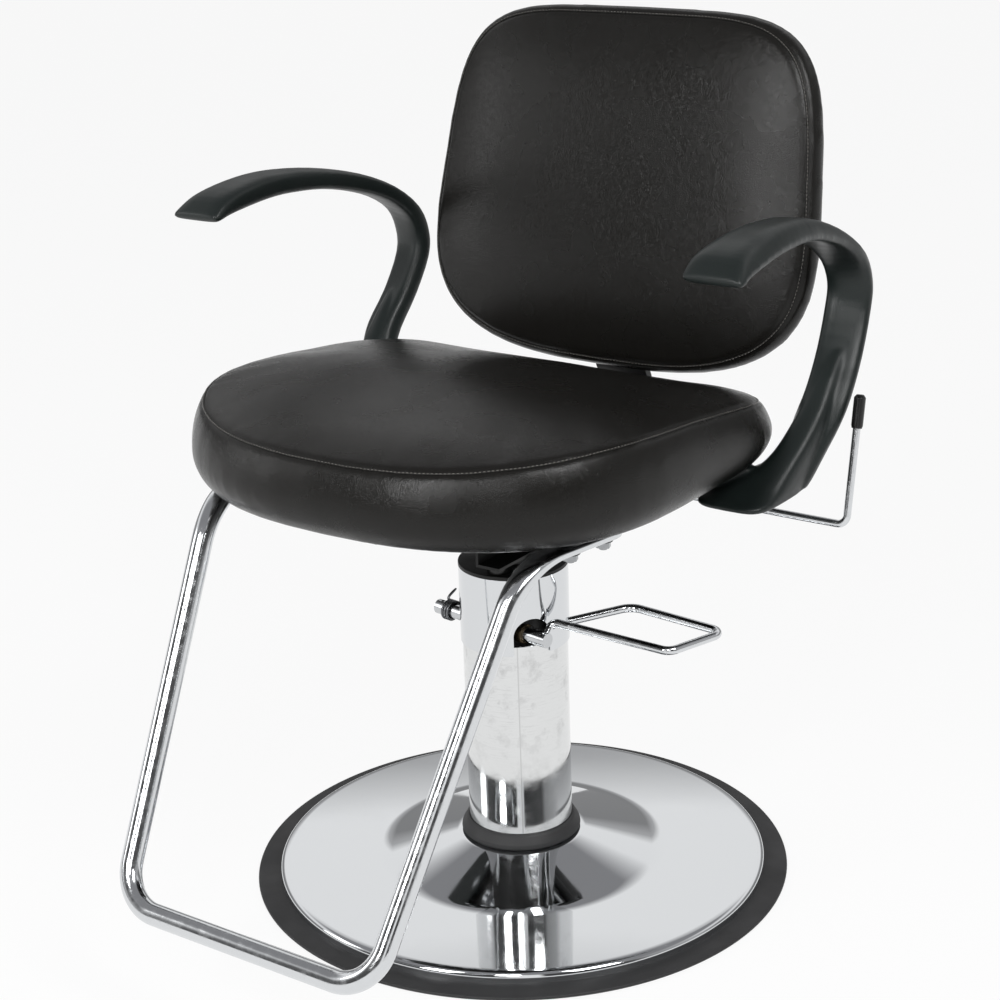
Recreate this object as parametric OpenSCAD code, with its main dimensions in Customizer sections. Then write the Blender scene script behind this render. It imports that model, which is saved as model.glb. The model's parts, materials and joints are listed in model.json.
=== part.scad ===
// Styling chair: hydraulic pump base, swivelling seat, reclining back and loop arms.
// Millimetres, +Z up. The origin is on the floor, on the axis of the column.
// The chair faces -Y. Its recline lever is on the +X side.

/* [Base] */
// Outside diameter of the rubber trim ring on the floor
ring_d = 585; // [560:5:650]
// Radial width of the trim ring
ring_w = 27; // [22:1:34]
// Height of the trim ring
ring_h = 6; // [5:0.5:9]
// Height of the cover plate's rolled rim above the trim ring
rim_h = 11; // [8:1:16]
// Height of the plate's centre, where the column stands
hub_h = 43; // [38:1:60]
// Radius of the foot of the plate's central cone
cone_r = 152; // [120:2:180]
// Fall of the plate from the cone's foot to its rim
skirt_fall = 2.5; // [1:0.5:8]
// Thickness of the spun cover plate
plate_t = 2; // [1.5:0.5:3]
// Thickness of the ballast disc under the cover plate
ballast_t = 8; // [6:1:12]

/* [Column] */
// Outside diameter of the lower tube
tube_d = 113; // [106:1:125]
// Wall of the lower tube and the upper sleeve
sheet_t = 1.5; // [1:0.25:2]
// Height of the pump's cap above the floor
pump_h = 358; // [340:1:420]
// Length of the upper sleeve
sleeve_len = 85; // [82:1:100]
// Length of the lower tube inside the upper sleeve
sleeve_lap = 10; // [6:1:14]
// How far the rubber collar at the foot of the column stands out from the tube
collar_w = 9; // [7:0.5:14]
// Height of the rubber collar
collar_h = 17; // [12:1:24]
// Diameter of the lifting ram
ram_d = 32; // [28:1:36]
// Travel of the lifting ram
lift = 150; // [120:5:160]

/* [Pump pedal] */
// Diameter of the cross shaft
shaft_d = 16; // [14:1:17]
// How far the pump's cross shaft stands out of the sleeve at each end, on average
shaft_over = 20; // [16:0.5:32]
// Distance of the cross shaft in front of the column's axis
shaft_front = 27; // [26:0.5:30]
// Depth of the cross shaft's axis below the cap
shaft_drop = 68; // [60:1:72]
// Turn of the pump on the base, seen from above
pump_turn = -7.5; // [-15:0.5:0]
// Radius of the arched notch over the cross shaft
notch_r = 20; // [17:1:22]
// Diameter of the pedal's rod
pedal_rod_d = 9; // [8:0.5:11]
// Width of the tread, across the loop
pedal_w = 66; // [50:1:80]
// Length of the loop's inner side
pedal_len = 155; // [120:1:170]

/* [Seat support] */
// Height of the mounting plate's underside above the pump's cap
plate_rise = 45; // [40:1:52]
// Thickness of the mounting plate
mount_t = 6; // [5:1:10]
// Distance between the two rails
rail_gap = 124; // [110:2:140]
// Thickness of the rails' steel
rail_t = 3; // [2.5:0.5:4]
// Height of the rails, from the mounting plate to the seat board
rail_h = 69; // [60:1:90]
// Slope of the seat board towards the back, in degrees
seat_tilt = 0; // [0:0.5:3]

/* [Seat] */
// Width of the seat cushion
seat_w = 528; // [490:2:550]
// Depth of the seat cushion
seat_l = 480; // [465:1:510]
// Distance of the cushion's front edge in front of the column
seat_front = 318; // [306:1:324]
// Greatest height of the cushion's side, from the board's underside to its seam
seat_side = 90; // [75:1:100]
// Height of the cushion's crown above its seam
seat_crown = 12; // [6:1:20]
// Thickness of the seat board
board_t = 12; // [12:1:18]

/* [Back] */
// How far each side of the back stands in from the side of the seat
back_in = 23; // [4:1:44]
// Height of the back cushion above its widest line
back_up = 222; // [200:1:250]
// Height of the back cushion below its widest line
back_down = 150; // [140:1:165]
// Depth of the back cushion behind its seam
back_side = 36; // [32:1:44]
// Lean of the back, in degrees
back_tilt = 12; // [8:0.5:14]
// Width of the steel bar that carries the back
bar_w = 65; // [50:1:80]
// Thickness of the steel bar
bar_t = 8; // [6:1:10]

/* [Arms] */
// Width of the armrest pad
pad_w = 52; // [44:1:60]
// Width of the arm's leg
leg_w = 48; // [40:1:54]
// Thickness of the arm's leg
leg_t = 19; // [16:1:24]
// Distance between the middles of the two armrest pads
arm_gap = 598; // [580:2:640]

/* [Footrest] */
// Diameter of the footrest's tube
foot_tube_d = 22; // [18:1:25]
// How far each end of the footrest's bar, to its bend's corner, stands in from the seat's side
foot_in = 111; // [84:1:134]
// Height of the footrest's bar
foot_bar_h = 119; // [90:1:160]
// Reach of the footrest's bar in front of the column
foot_reach = 456; // [430:1:500]

/* [Recline lever] */
// Diameter of the lever's rod
lever_d = 8; // [6:0.5:9]
// Reach of the lever from the middle of the chair
lever_reach = 321.5; // [318:0.5:345]
// Length of the lever's grip
grip_len = 34; // [30:1:60]
// Diameter of the lever's grip
grip_d = 12; // [10:0.5:16]

/* [Hidden] */
$fn = 64;

run_fit = 0.05;     // radial clearance of a shaft that turns or slides
slip_fit = 0.3;     // radial clearance of a bolt or a sleeve in its hole
seat_gap = 0.3;     // air between soft parts and their neighbours
chrome = [0.80, 0.81, 0.83];
steel = [0.62, 0.63, 0.65];
black = [0.09, 0.09, 0.09];
vinyl = [0.13, 0.125, 0.12];
urethane = [0.10, 0.12, 0.115];

ring_r = ring_d / 2;
plate_r = ring_r - ring_w + 2;
ballast_r = plate_r - 10;
ballast_z = 3;
flange_z = ballast_z + ballast_t;
flange_t = 12;
tube_r = tube_d / 2;
collar_d = tube_d + 2 * collar_w;
flange_bolt_r = tube_r + 13.5;
flange_r = flange_bolt_r + 14;
sleeve_r = tube_r + sheet_t + 0.5;
shaft_len = 2 * (sleeve_r + shaft_over);
cap_t = 4;
sleeve_top = pump_h - cap_t;
sleeve_z = sleeve_top - sleeve_len;
tube_top = sleeve_z + sleeve_lap;
body_z = flange_z + flange_t;
body_r = 38;
head_r = 46;
head_len = 84;
body_top = pump_h - 10;
ram_r = ram_d / 2;
shaft_r = shaft_d / 2;
shaft_z = pump_h - shaft_drop;
shaft_mid = -8;
bush_r = shaft_r + 2.5;
bush_x = 24;
bush_len = 17;
plug_a = 22;
plug_r = 41;
plug_h = 28;

socket_z = pump_h + 7.3;
plate_z = pump_h + plate_rise;
rail_z = plate_z + mount_t;
seat_h = rail_z + rail_h;
back_w = seat_w - 2 * back_in;
foot_bar_l = seat_w - 2 * foot_in;
flange_hub_t = 8;
rail_x = rail_gap / 2;
rail_flange = 28;
rail_front = -150;
hinge_y = seat_l - seat_front + 10;
hinge_z = rail_z + rail_h / 3;
hinge_r = 8;
knuckle_r = 12;
lever_y = hinge_y - 39;
lever_z = rail_z + 2;
lever_r = lever_d / 2;
lever_lean = 11;
quadrant_r = 35;
cam_x = 40;
cam_w = 7;

// --- general shapes -------------------------------------------------------------------------

function spow(v, e) = sign(v) * pow(abs(v), e);
function unit(v) = v / norm(v);

// One smooth curve through rows of numbers, k steps from each row to the next
function catmull(a, b, c, d, t) =
    0.5 * (2 * b + (c - a) * t + (2 * a - 5 * b + 4 * c - d) * t * t + (3 * b - a - 3 * c + d) * t * t * t);
function smooth_rows(rows, k) =
    let (n = len(rows))
    [for (i = [0:n - 2]) for (j = [0:k - 1])
        catmull(rows[max(0, i - 1)], rows[i], rows[i + 1], rows[min(n - 1, i + 2)], j / k),
     rows[n - 1]];

// A closed ring of points: half size a along u and b along v, squarer as e falls below 1
function ring(c, u, v, a, b, e, n) =
    [for (i = [0:n - 1]) let (t = 360 * i / n) c + u * a * spow(cos(t), e) + v * b * spow(sin(t), e)];

function middle(pts) = [for (k = [0:2]) let (s = [for (p = pts) p[k]]) (max(s) + min(s)) / 2];

// Skins a list of equal rings and closes both ends with a fan
module loft(rings) {
    n = len(rings);
    m = len(rings[0]);
    pts = concat([for (r = rings) each r], [middle(rings[0])], [middle(rings[n - 1])]);
    sides = [for (i = [0:n - 2]) for (j = [0:m - 1]) let (k = (j + 1) % m, p = i * m, q = p + m)
        each [[p + j, q + j, q + k], [p + j, q + k, p + k]]];
    first = [for (j = [0:m - 1]) [n * m, j, (j + 1) % m]];
    last = [for (j = [0:m - 1]) [n * m + 1, (n - 1) * m + (j + 1) % m, (n - 1) * m + j]];
    polyhedron(pts, concat(sides, first, last), convexity = 8);
}

// Points of a path whose inner corners are rounded, each to its own radius
function corner(a, p, b, r, k) =
    let (u = unit(a - p), v = unit(b - p), half = acos(u * v) / 2, s = p + u * r / tan(half),
         c = p + unit(u + v) * r / sin(half), sweep_a = 180 - 2 * half)
    [for (i = [0:k]) let (t = sweep_a * i / k) c + (s - c) * cos(t) - u * r * sin(t)];
function round_path(p, r, k) =
    concat([p[0]], [for (i = [1:len(p) - 2]) each corner(p[i - 1], p[i], p[i + 1], r[i - 1], k)],
           [p[len(p) - 1]]);

function tangents(p) =
    [for (i = [0:len(p) - 1]) unit(p[min(i + 1, len(p) - 1)] - p[max(i - 1, 0)])];
function flat_to(n, t) = unit(n - t * (n * t));

// Sweeps a ring along a path without twist; size holds the half height and half width at each point
module sweep(p, size, n, start) {
    t = tangents(p);
    up = [for (i = 0, u = flat_to(start, t[0]); i < len(p);
               i = i + 1, u = i < len(p) ? flat_to(u, t[i]) : u) u];
    loft([for (i = [0:len(p) - 1]) ring(p[i], up[i], cross(t[i], up[i]), size[i][0], size[i][1], 1, n)]);
}
module rod_sweep(p, r, n, start) { sweep(p, [for (q = p) [r, r]], n, start); }

module tube(ro, ri, h) {
    difference() {
        cylinder(r = ro, h = h);
        translate([0, 0, -1]) cylinder(r = ri, h = h + 2);
    }
}

// A cylinder along X from x0 to x1
module bar_x(r, x0, x1, y = 0, z = 0) { translate([x0, y, z]) rotate([0, 90, 0]) cylinder(r = r, h = x1 - x0); }

module hex_head(flats, h) { cylinder(r = flats / sqrt(3), h = h, $fn = 6); }

// A hexagon bolt, its head's seat at z = 0, its shank upwards
module bolt(d, len_shank, head_h) {
    translate([0, 0, -head_h]) hex_head(1.6 * d, head_h);
    cylinder(d = d, h = len_shank, $fn = 32);
}

module rounded_plate(x, y, r, h) {
    linear_extrude(h) hull() for (i = [-1, 1]) for (j = [-1, 1])
        translate([i * (x / 2 - r), j * (y / 2 - r)]) circle(r = r, $fn = 32);
}

// --- base -----------------------------------------------------------------------------------

// Spun cover: a level shelf under the collar, a cone, and a nearly level skirt to the rolled rim
plate_rim_z = ring_h + rim_h;
cone_foot_z = plate_rim_z + skirt_fall;
dome_pts = round_path([[tube_r + 1, hub_h], [collar_d / 2 + 2, hub_h], [cone_r, cone_foot_z],
                       [plate_r - 10, plate_rim_z]], [24, 70], 6);
rim_pts = [for (a = [80:-16:0]) [plate_r - 6 + 6 * cos(a), plate_rim_z - 6.2 + 6 * sin(a)]];

module trim_ring() {
    color(black) rotate_extrude($fn = 128) difference() {
        union() {
            translate([ring_r - 2.5, 2.5]) circle(r = 2.5, $fn = 32);
            polygon([[ring_r - ring_w - 8, 0], [ring_r - 2.5, 0], [ring_r - 1.5, 4.7], [ring_r - ring_w, ring_h],
                     [ring_r - ring_w - 8, ring_h]]);
        }
        polygon([[ring_r - ring_w - 12, 2.7], [plate_r + 0.4, 2.7], [plate_r + 0.4, ring_h + 2],
                 [ring_r - ring_w - 12, ring_h + 2]]);
    }
}

module ballast_disc() {
    color(black) translate([0, 0, ballast_z]) difference() {
        cylinder(r = ballast_r, h = ballast_t, $fn = 128);
        pump_place() for (a = [45:90:315]) rotate(a)
            translate([flange_bolt_r, 0, -1]) cylinder(d = 10 + slip_fit, h = ballast_t + 2, $fn = 32);
    }
}

module base_plate() {
    color(chrome) rotate_extrude($fn = 160) polygon(concat(
        dome_pts,
        rim_pts, [[plate_r, 3.2], [plate_r - plate_t, 3.2], [plate_r - plate_t, plate_rim_z - 6.2],
         [plate_r - 5, plate_rim_z - 2.6]],
        [for (i = [len(dome_pts) - 1:-1:0]) dome_pts[i] - [0, plate_t]]));
}

// Everything on the pump is turned with it
module pump_place() { rotate(pump_turn) children(); }

module pump_flange() {
    color(black) translate([0, 0, flange_z]) pump_place() difference() {
        union() {
            cylinder(r = tube_r - sheet_t - 1, h = flange_t);
            linear_extrude(flange_t - 2) hull() for (a = [45:90:315]) rotate(a)
                translate([flange_bolt_r, 0]) circle(r = flange_r - flange_bolt_r, $fn = 32);
        }
        for (a = [45:90:315]) rotate(a) translate([flange_bolt_r, 0, -1])
            cylinder(d = 10 + 2 * slip_fit, h = flange_t + 2, $fn = 32);
        translate([0, 0, flange_t - 2]) tube(tube_r + 1, tube_r - sheet_t - 0.5, 5);
    }
}

module flange_bolts() {
    color(steel) pump_place() for (a = [45:90:315]) rotate(a)
        translate([flange_bolt_r, 0, flange_z + flange_t - 2]) mirror([0, 0, 1])
            bolt(10, flange_t - 2 + ballast_t, 7);
}

module column_collar() {
    color(black) translate([0, 0, hub_h]) rotate_extrude() polygon([
        [tube_r + 0.2, 0.2], [collar_d / 2 - 3, 0.2], [collar_d / 2, 3], [collar_d / 2 - 1, 6],
        [tube_r + 3, collar_h - 1], [tube_r + 2, collar_h], [tube_r + 0.2, collar_h]]);
}

module lower_tube() {
    color(chrome) translate([0, 0, body_z - 2]) tube(tube_r, tube_r - sheet_t, tube_top - body_z + 2);
}

// --- pump -----------------------------------------------------------------------------------

module shaft_place() { pump_place() translate([0, -shaft_front, shaft_z]) children(); }

module pump_body() {
    color(black) difference() {
        union() {
            translate([0, 0, body_z]) cylinder(r = body_r, h = body_top - body_z);
            translate([0, 0, body_top - head_len]) cylinder(r = head_r, h = head_len);
        }
        translate([0, 0, body_z + 26]) cylinder(r = ram_r + run_fit, h = body_top);
        shaft_place() {
            bar_x(shaft_r + 0.4, -head_r - 5, head_r + 5);
            for (s = [-1, 1]) bar_x(bush_r, min(s * bush_x, s * 60), max(s * bush_x, s * 60));
        }
    }
}

module shaft_bushes() {
    color("goldenrod") shaft_place() for (s = [-1, 1]) difference() {
        bar_x(bush_r - 0.02, min(s * bush_x, s * (bush_x + bush_len)) + 0.05, max(s * bush_x, s * (bush_x + bush_len)) - 0.05);
        bar_x(shaft_r + run_fit, -60, 60);
    }
}

// Rolled sleeve with an arched notch over each end of the shaft, so that it lifts off upwards
module upper_sleeve() {
    color(chrome) difference() {
        translate([0, 0, sleeve_z]) tube(sleeve_r, sleeve_r - sheet_t, sleeve_len);
        pump_place() for (a = [-61, 61]) rotate(a) translate([0, 0, shaft_z]) rotate([90, 0, 0]) {
            cylinder(r = notch_r, h = sleeve_r + 5);
            translate([-notch_r, -60, 0]) cube([2 * notch_r, 60, sleeve_r + 5]);
        }
    }
}

module pump_cap() {
    color(black) pump_place() difference() {
        union() {
            translate([0, 0, sleeve_top]) cylinder(r = sleeve_r, h = cap_t);
            translate([0, 0, body_top]) cylinder(r = sleeve_r - sheet_t - 0.4, h = sleeve_top - body_top);
        }
        translate([0, 0, body_top - 1]) cylinder(r = ram_r + 0.6, h = 30);
        rotate(plug_a) translate([0, -plug_r, sleeve_top - 2]) cylinder(r = 6 + slip_fit, h = 20);
    }
}

module oil_plug() {
    color([0.06, 0.06, 0.06]) pump_place() rotate(plug_a) translate([0, -plug_r, pump_h]) {
        translate([0, 0, -5]) cylinder(r = 6, h = 8);
        cylinder(r = 12.8, h = 14);
        translate([0, 0, 14]) cylinder(r = 15.6, h = 4);
        translate([0, 0, 18]) cylinder(r = 14.4, h = plug_h - 18);
    }
}

module ram_seal() {
    color(black) translate([0, 0, pump_h]) rotate_extrude() polygon([
        [ram_r + run_fit, 0], [ram_r + 7, 0], [ram_r + 6, 2.5], [ram_r + run_fit, 3.5]]);
}

// Torsion spring on the shaft's long end; one leg leans on the sleeve
module return_spring() {
    wire = 1.6;
    coil_r = shaft_r + 0.8 + wire;
    turns = 3.25;
    pts = concat(
        [for (i = [0:turns * 14]) let (a = 360 * i / 14)
            [-sleeve_r - 4.5 - 3.7 * i / 14, coil_r * cos(a), coil_r * sin(a)]],
        [for (q = [[4, 3], [16, 8]]) [-sleeve_r - 4.5 - 3.7 * turns, q[0], coil_r + q[1]]]);
    color(steel) shaft_place() rod_sweep(pts, wire, 8, [1, 0, 0]);
}

module ram() {
    color(chrome) {
        translate([0, 0, body_z + 38]) cylinder(r = ram_r, h = plate_z - 2 - body_z - 38);
        translate([0, 0, pump_h + 4]) cylinder(r = ram_r + 5, h = 3);
    }
}

// --- pedal ----------------------------------------------------------------------------------

shaft_x0 = shaft_mid - shaft_len / 2;
shaft_x1 = shaft_mid + shaft_len / 2;
pedal_root = shaft_x1 - 6;
pedal_rise = 15;
pedal_r = pedal_rod_d / 2;

module cross_shaft() {
    color(steel) shaft_place() difference() {
        bar_x(shaft_r, shaft_x0, shaft_x1);
        translate([shaft_x0 + 7, 0, -20]) cylinder(r = 2.2, h = 40, $fn = 24);
        translate([pedal_root, 0, 0]) rotate([-45, 0, 0]) translate([0, 0, -2]) cylinder(r = pedal_r + 0.04, h = 20);
        for (x = [pedal_root - 10, pedal_root - 18])
            translate([x, 0, 0]) rotate([-20, 0, 0]) translate([0, 0, shaft_r - 4]) cylinder(r = 2.5, h = 9, $fn = 24);
    }
}

// Loop of one rod: up out of the shaft, along the inner side, across the tread and back
module pedal_loop() {
    in_y = 15;
    z = pedal_rise;
    x1 = pedal_root + pedal_len;
    far = in_y + 12 + pedal_w;
    pts = round_path([[pedal_root, 0.2, 0.2], [pedal_root, in_y, in_y], [pedal_root + 22, in_y + 2, z],
        [x1 - 6, in_y + 8, z + 3], [x1 + 10, far, z + 5],
        [x1 - 112, far, z + 3], [pedal_root + 12, in_y + 2 + pedal_rod_d * 0.9, z]],
        [9, 12, 12, 12, 20], 7);
    color(chrome) shaft_place() rod_sweep(pts, pedal_r, 16, [1, 0, 0]);
}

module shaft_screws() {
    color(black) shaft_place() for (x = [pedal_root - 10, pedal_root - 18])
        translate([x, 0, 0]) rotate([-20, 0, 0]) translate([0, 0, shaft_r - 3.8]) cylinder(r = 2.45, h = 5.2, $fn = 24);
}

// --- seat support ---------------------------------------------------------------------------

socket_bolt_r = 42;

module seat_socket() {
    color(black) difference() {
        union() {
            translate([0, 0, socket_z]) cylinder(r = ram_r + 7.5, h = plate_z - socket_z);
            translate([0, 0, plate_z - flange_hub_t]) cylinder(r = 56, h = flange_hub_t);
        }
        translate([0, 0, socket_z - 1]) cylinder(r = ram_r + 3.02, h = 60);
        for (a = [45:90:315]) rotate(a) translate([socket_bolt_r, 0, plate_z - flange_hub_t + 1])
            cylinder(d = 8, h = 20, $fn = 32);
    }
}

module swivel_bush() {
    color("goldenrod") translate([0, 0, socket_z])
        tube(ram_r + 3, ram_r + run_fit, plate_z - socket_z - 0.3);
}

module mounting_plate() {
    color(black) translate([0, 2, plate_z]) difference() {
        rounded_plate(rail_gap + 2 * rail_flange + 10, 224, 18, mount_t);
        for (a = [45:90:315]) translate([0, -2, -1]) rotate(a) translate([socket_bolt_r, 0, 0])
            cylinder(d = 8 + 2 * slip_fit, h = 20, $fn = 32);
        rail_bolt_places() translate([0, -2, -1]) cylinder(d = 8 + 2 * slip_fit, h = 20, $fn = 32);
    }
}

module socket_bolts() {
    color(steel) for (a = [45:90:315]) rotate(a) translate([socket_bolt_r, 0, rail_z]) mirror([0, 0, 1])
        bolt(7.9, mount_t + flange_hub_t - 1.5, 6);
}

rail_bolt_x = rail_x + rail_flange - 12;
module rail_bolt_places() {
    for (x = [-1, 1]) for (y = [-75, 90]) translate([x * rail_bolt_x, y, 0]) children();
}
module rail_bolts() {
    color(steel) rail_bolt_places() translate([0, 0, plate_z]) bolt(8, mount_t + rail_t + 9, 5.5);
    color(steel) rail_bolt_places() translate([0, 0, rail_z + rail_t]) difference() {
        hex_head(13, 6.5);
        translate([0, 0, -1]) cylinder(r = 3.9, h = 9, $fn = 32);
    }
}

// Height of the board's underside at a given y
function seat_under(y) = seat_h - y * tan(seat_tilt);
rail_back = hinge_y + 20;
board_bolt_y = [-118, 118];

// A pressed channel: its web carries the hinge pin and the lever, its flanges face outwards
module rail() {
    web = [[rail_front, rail_z], [116, rail_z], [120, lever_z - 11], [148, lever_z - 11], [hinge_y + 4, hinge_z - 17],
           [rail_back, hinge_z - 10], [rail_back, seat_under(rail_back) - 0.2],
           [rail_front, seat_under(rail_front) - 0.2]];
    difference() {
        union() {
            translate([rail_x, 0, 0]) rotate([90, 0, 90]) linear_extrude(rail_t) polygon(web);
            translate([rail_x, rail_front, rail_z]) cube([rail_flange, 112 - rail_front, rail_t]);
            translate([rail_x, 0, 0]) rotate([90, 0, 90]) linear_extrude(rail_flange) polygon([
                [rail_front, seat_under(rail_front) - 0.2 - rail_t], [rail_back, seat_under(rail_back) - 0.2 - rail_t],
                [rail_back, seat_under(rail_back) - 0.2], [rail_front, seat_under(rail_front) - 0.2]]);
        }
        bar_x(hinge_r + run_fit, rail_x - 5, rail_x + 60, hinge_y, hinge_z);
        bar_x(lever_r + run_fit, rail_x - 5, rail_x + 60, lever_y, lever_z);
        for (y = [-100, -45, 10, 65]) bar_x(14, rail_x - 5, rail_x + 10, y, rail_z + 28);
        rail_bolt_places() translate([0, 0, rail_z - 1]) cylinder(d = 8 + 2 * slip_fit, h = 20, $fn = 32);
        for (y = board_bolt_y) translate([rail_bolt_x, y, rail_z + 20])
            cylinder(d = 8 + 2 * slip_fit, h = 80, $fn = 32);
    }
}
module rail_right() { color(black) rail(); }
module rail_left() { color(black) mirror([1, 0, 0]) rail(); }

// --- seat -----------------------------------------------------------------------------------

seat_mid = seat_l / 2 - seat_front;

// Outline of the seat, drawn in by inset: broad rounded front, squarer back
function seat_point(t, inset) =
    let (e = sin(t) < 0 ? 2 / 2.45 : 2 / 5.5, w = seat_w / 2 - inset, l = seat_l / 2 - inset)
    [w * spow(cos(t), e) * (sin(t) > 0 ? 1 - 0.04 * pow(sin(t), 2) : 1), seat_mid + l * spow(sin(t), e)];
function seat_outline(inset, n) = [for (i = [0:n - 1]) seat_point(360 * i / n, inset)];

// The top seam rises behind the front edge and falls towards the back
function seat_wave(y) = let (d = y - seat_mid + 85)
    d < 0 ? -14 * pow(-d / 150, 2) : -38 * pow(d / 320, 1.75);
// A shallow hollow at the back of the seat
function seat_dish(p) = -12 * exp(-pow((p[1] - seat_mid - 170) / 75, 2)) * max(0, 1 - pow(p[0] / 190, 2));

// Inset, height and share of the wave of each ring of the cushion, from its lower edge to its crown
seat_layers = [[18, 0, 0], [11, 4, 0], [4, 14, 0.05], [0, 32, 0.2], [1, 52, 0.5], [4, 72, 0.8],
               [10, seat_side, 1], [40, seat_side + seat_crown * 0.6, 1],
               [90, seat_side + seat_crown * 0.9, 1], [150, seat_side + seat_crown, 1],
               [200, seat_side + seat_crown, 1]];

module seat_place() { translate([0, 0, seat_h]) rotate([-seat_tilt, 0, 0]) children(); }

module seat_board() {
    color("burlywood") seat_place() difference() {
        linear_extrude(board_t) polygon(seat_outline(24, 72));
        for (x = [-rail_bolt_x, rail_bolt_x]) for (y = board_bolt_y)
            translate([x, y, -1]) cylinder(r = 4.1, h = board_t - 2, $fn = 32);
        for (s = [-1, 1]) for (q = arm_bolts_at) translate([s * q[0], q[1], -1])
            cylinder(r = 4.1, h = board_t - 2, $fn = 32);
        for (s = [-1, 1]) for (d = foot_bolt_d) translate([s * foot_flat(d)[0], foot_flat(d)[1], -1])
            cylinder(r = 4.1, h = board_t - 2, $fn = 32);
    }
}

module board_bolts() {
    color(steel) for (x = [-rail_bolt_x, rail_bolt_x]) for (y = board_bolt_y)
        translate([x, y, seat_under(y) - rail_t - 0.25]) bolt(7.8, rail_t + 9, 5.5);
}

module seat_cushion() {
    color(vinyl) seat_place() difference() {
        loft([for (q = seat_layers) [for (p = seat_outline(q[0], 48))
            [p[0], p[1], q[1] + seat_wave(p[1]) * q[2] + (q[1] > seat_side ? seat_dish(p) : 0)]]]);
        translate([0, 0, -1]) linear_extrude(board_t + 1 + seat_gap) polygon(seat_outline(24 - seat_gap, 72));
    }
}

// --- footrest -------------------------------------------------------------------------------

foot_plan_a = 9.8;                                    // the legs spread towards the seat
foot_rise_a = 30.8;                                   // lean of the legs from the vertical
foot_flat_t = 8;
foot_pad_t = 5.5;
foot_top_z = seat_under(-170) - foot_pad_t - foot_flat_t / 2 - 0.4;
foot_out = (foot_top_z - foot_bar_h) * tan(foot_rise_a);
foot_corner = [foot_bar_l / 2 + foot_out * sin(foot_plan_a), -foot_reach + foot_out * cos(foot_plan_a)];
foot_bolt_d = [64, 109];
foot_end_d = 128;
function foot_flat(d) = foot_corner + d * [sin(foot_plan_a), cos(foot_plan_a)];

module foot_end_place(s) {
    mirror([s < 0 ? 1 : 0, 0, 0]) translate([foot_corner[0], foot_corner[1], foot_top_z])
        rotate(-foot_plan_a) children();
}

// One tube, bent four times; both ends are pressed flat and drilled
module footrest_tube() {
    r = foot_tube_d / 2;
    e = foot_flat(foot_bolt_d[0] - 12);
    right = [[e[0], e[1], foot_top_z], [foot_corner[0], foot_corner[1], foot_top_z],
             [foot_bar_l / 2, -foot_reach, foot_bar_h]];
    pts = round_path([right[0], right[1], right[2], [-right[2][0], right[2][1], right[2][2]],
                      [-right[1][0], right[1][1], right[1][2]], [-right[0][0], right[0][1], right[0][2]]],
                     [80, 46, 46, 80], 9);
    n = len(pts);
    size = [for (i = [0:n - 1]) let (k = min(1, min(i, n - 1 - i) / 9))
        [foot_flat_t / 2 + (r - foot_flat_t / 2) * k, 14 + (r - 14) * k]];
    color(chrome) union() {
        sweep(pts, size, 20, [0, 0, 1]);
        for (s = [-1, 1]) foot_end_place(s) difference() {
            translate([0, foot_bolt_d[0] - 14, -foot_flat_t / 2]) linear_extrude(foot_flat_t) hull() {
                translate([-14.2, 0]) square([28.4, 2]);
                translate([0, foot_end_d - foot_bolt_d[0]]) circle(r = 14.2, $fn = 32);
            }
            for (d = foot_bolt_d) translate([0, d, -10]) cylinder(r = 4 + slip_fit, h = 20, $fn = 32);
        }
    }
}

module foot_strip(h) {
    linear_extrude(h) hull() for (d = foot_bolt_d) translate([0, d]) circle(r = 12, $fn = 32);
}
module footrest_pads() {
    color(black) for (s = [-1, 1]) foot_end_place(s) difference() {
        translate([0, 0, foot_flat_t / 2]) foot_strip(foot_pad_t - 1.2);
        for (d = foot_bolt_d) translate([0, d, 0]) cylinder(r = 4 + slip_fit, h = 20, $fn = 32);
    }
}
foot_washer_t = 2.5;
module footrest_bolts() {
    color(chrome) for (s = [-1, 1]) foot_end_place(s) for (d = foot_bolt_d)
        translate([0, d, -foot_flat_t / 2 - foot_washer_t - 8.5]) cylinder(r = 3.95, h = 33.5, $fn = 32);
}
module footrest_washers() {
    color(black) for (s = [-1, 1]) foot_end_place(s) for (d = foot_bolt_d)
        translate([0, d, -foot_flat_t / 2 - foot_washer_t]) tube(9.5, 4.2, foot_washer_t, $fn = 32);
}
module footrest_nuts() {
    color(chrome) for (s = [-1, 1]) foot_end_place(s) for (d = foot_bolt_d)
        translate([0, d, -foot_flat_t / 2 - foot_washer_t - 6.5]) difference() {
            hex_head(13, 6.5);
            translate([0, 0, -1]) cylinder(r = 4, h = 9, $fn = 32);
        }
}

// --- arms -----------------------------------------------------------------------------------

arm_leg_x = seat_w / 2 + 16;
arm_sole_z = seat_h - 33;
arm_boss_z = seat_h - 0.1;
arm_bolts_at = [[arm_leg_x - 65, 62], [arm_leg_x - 66, 94]];

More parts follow.
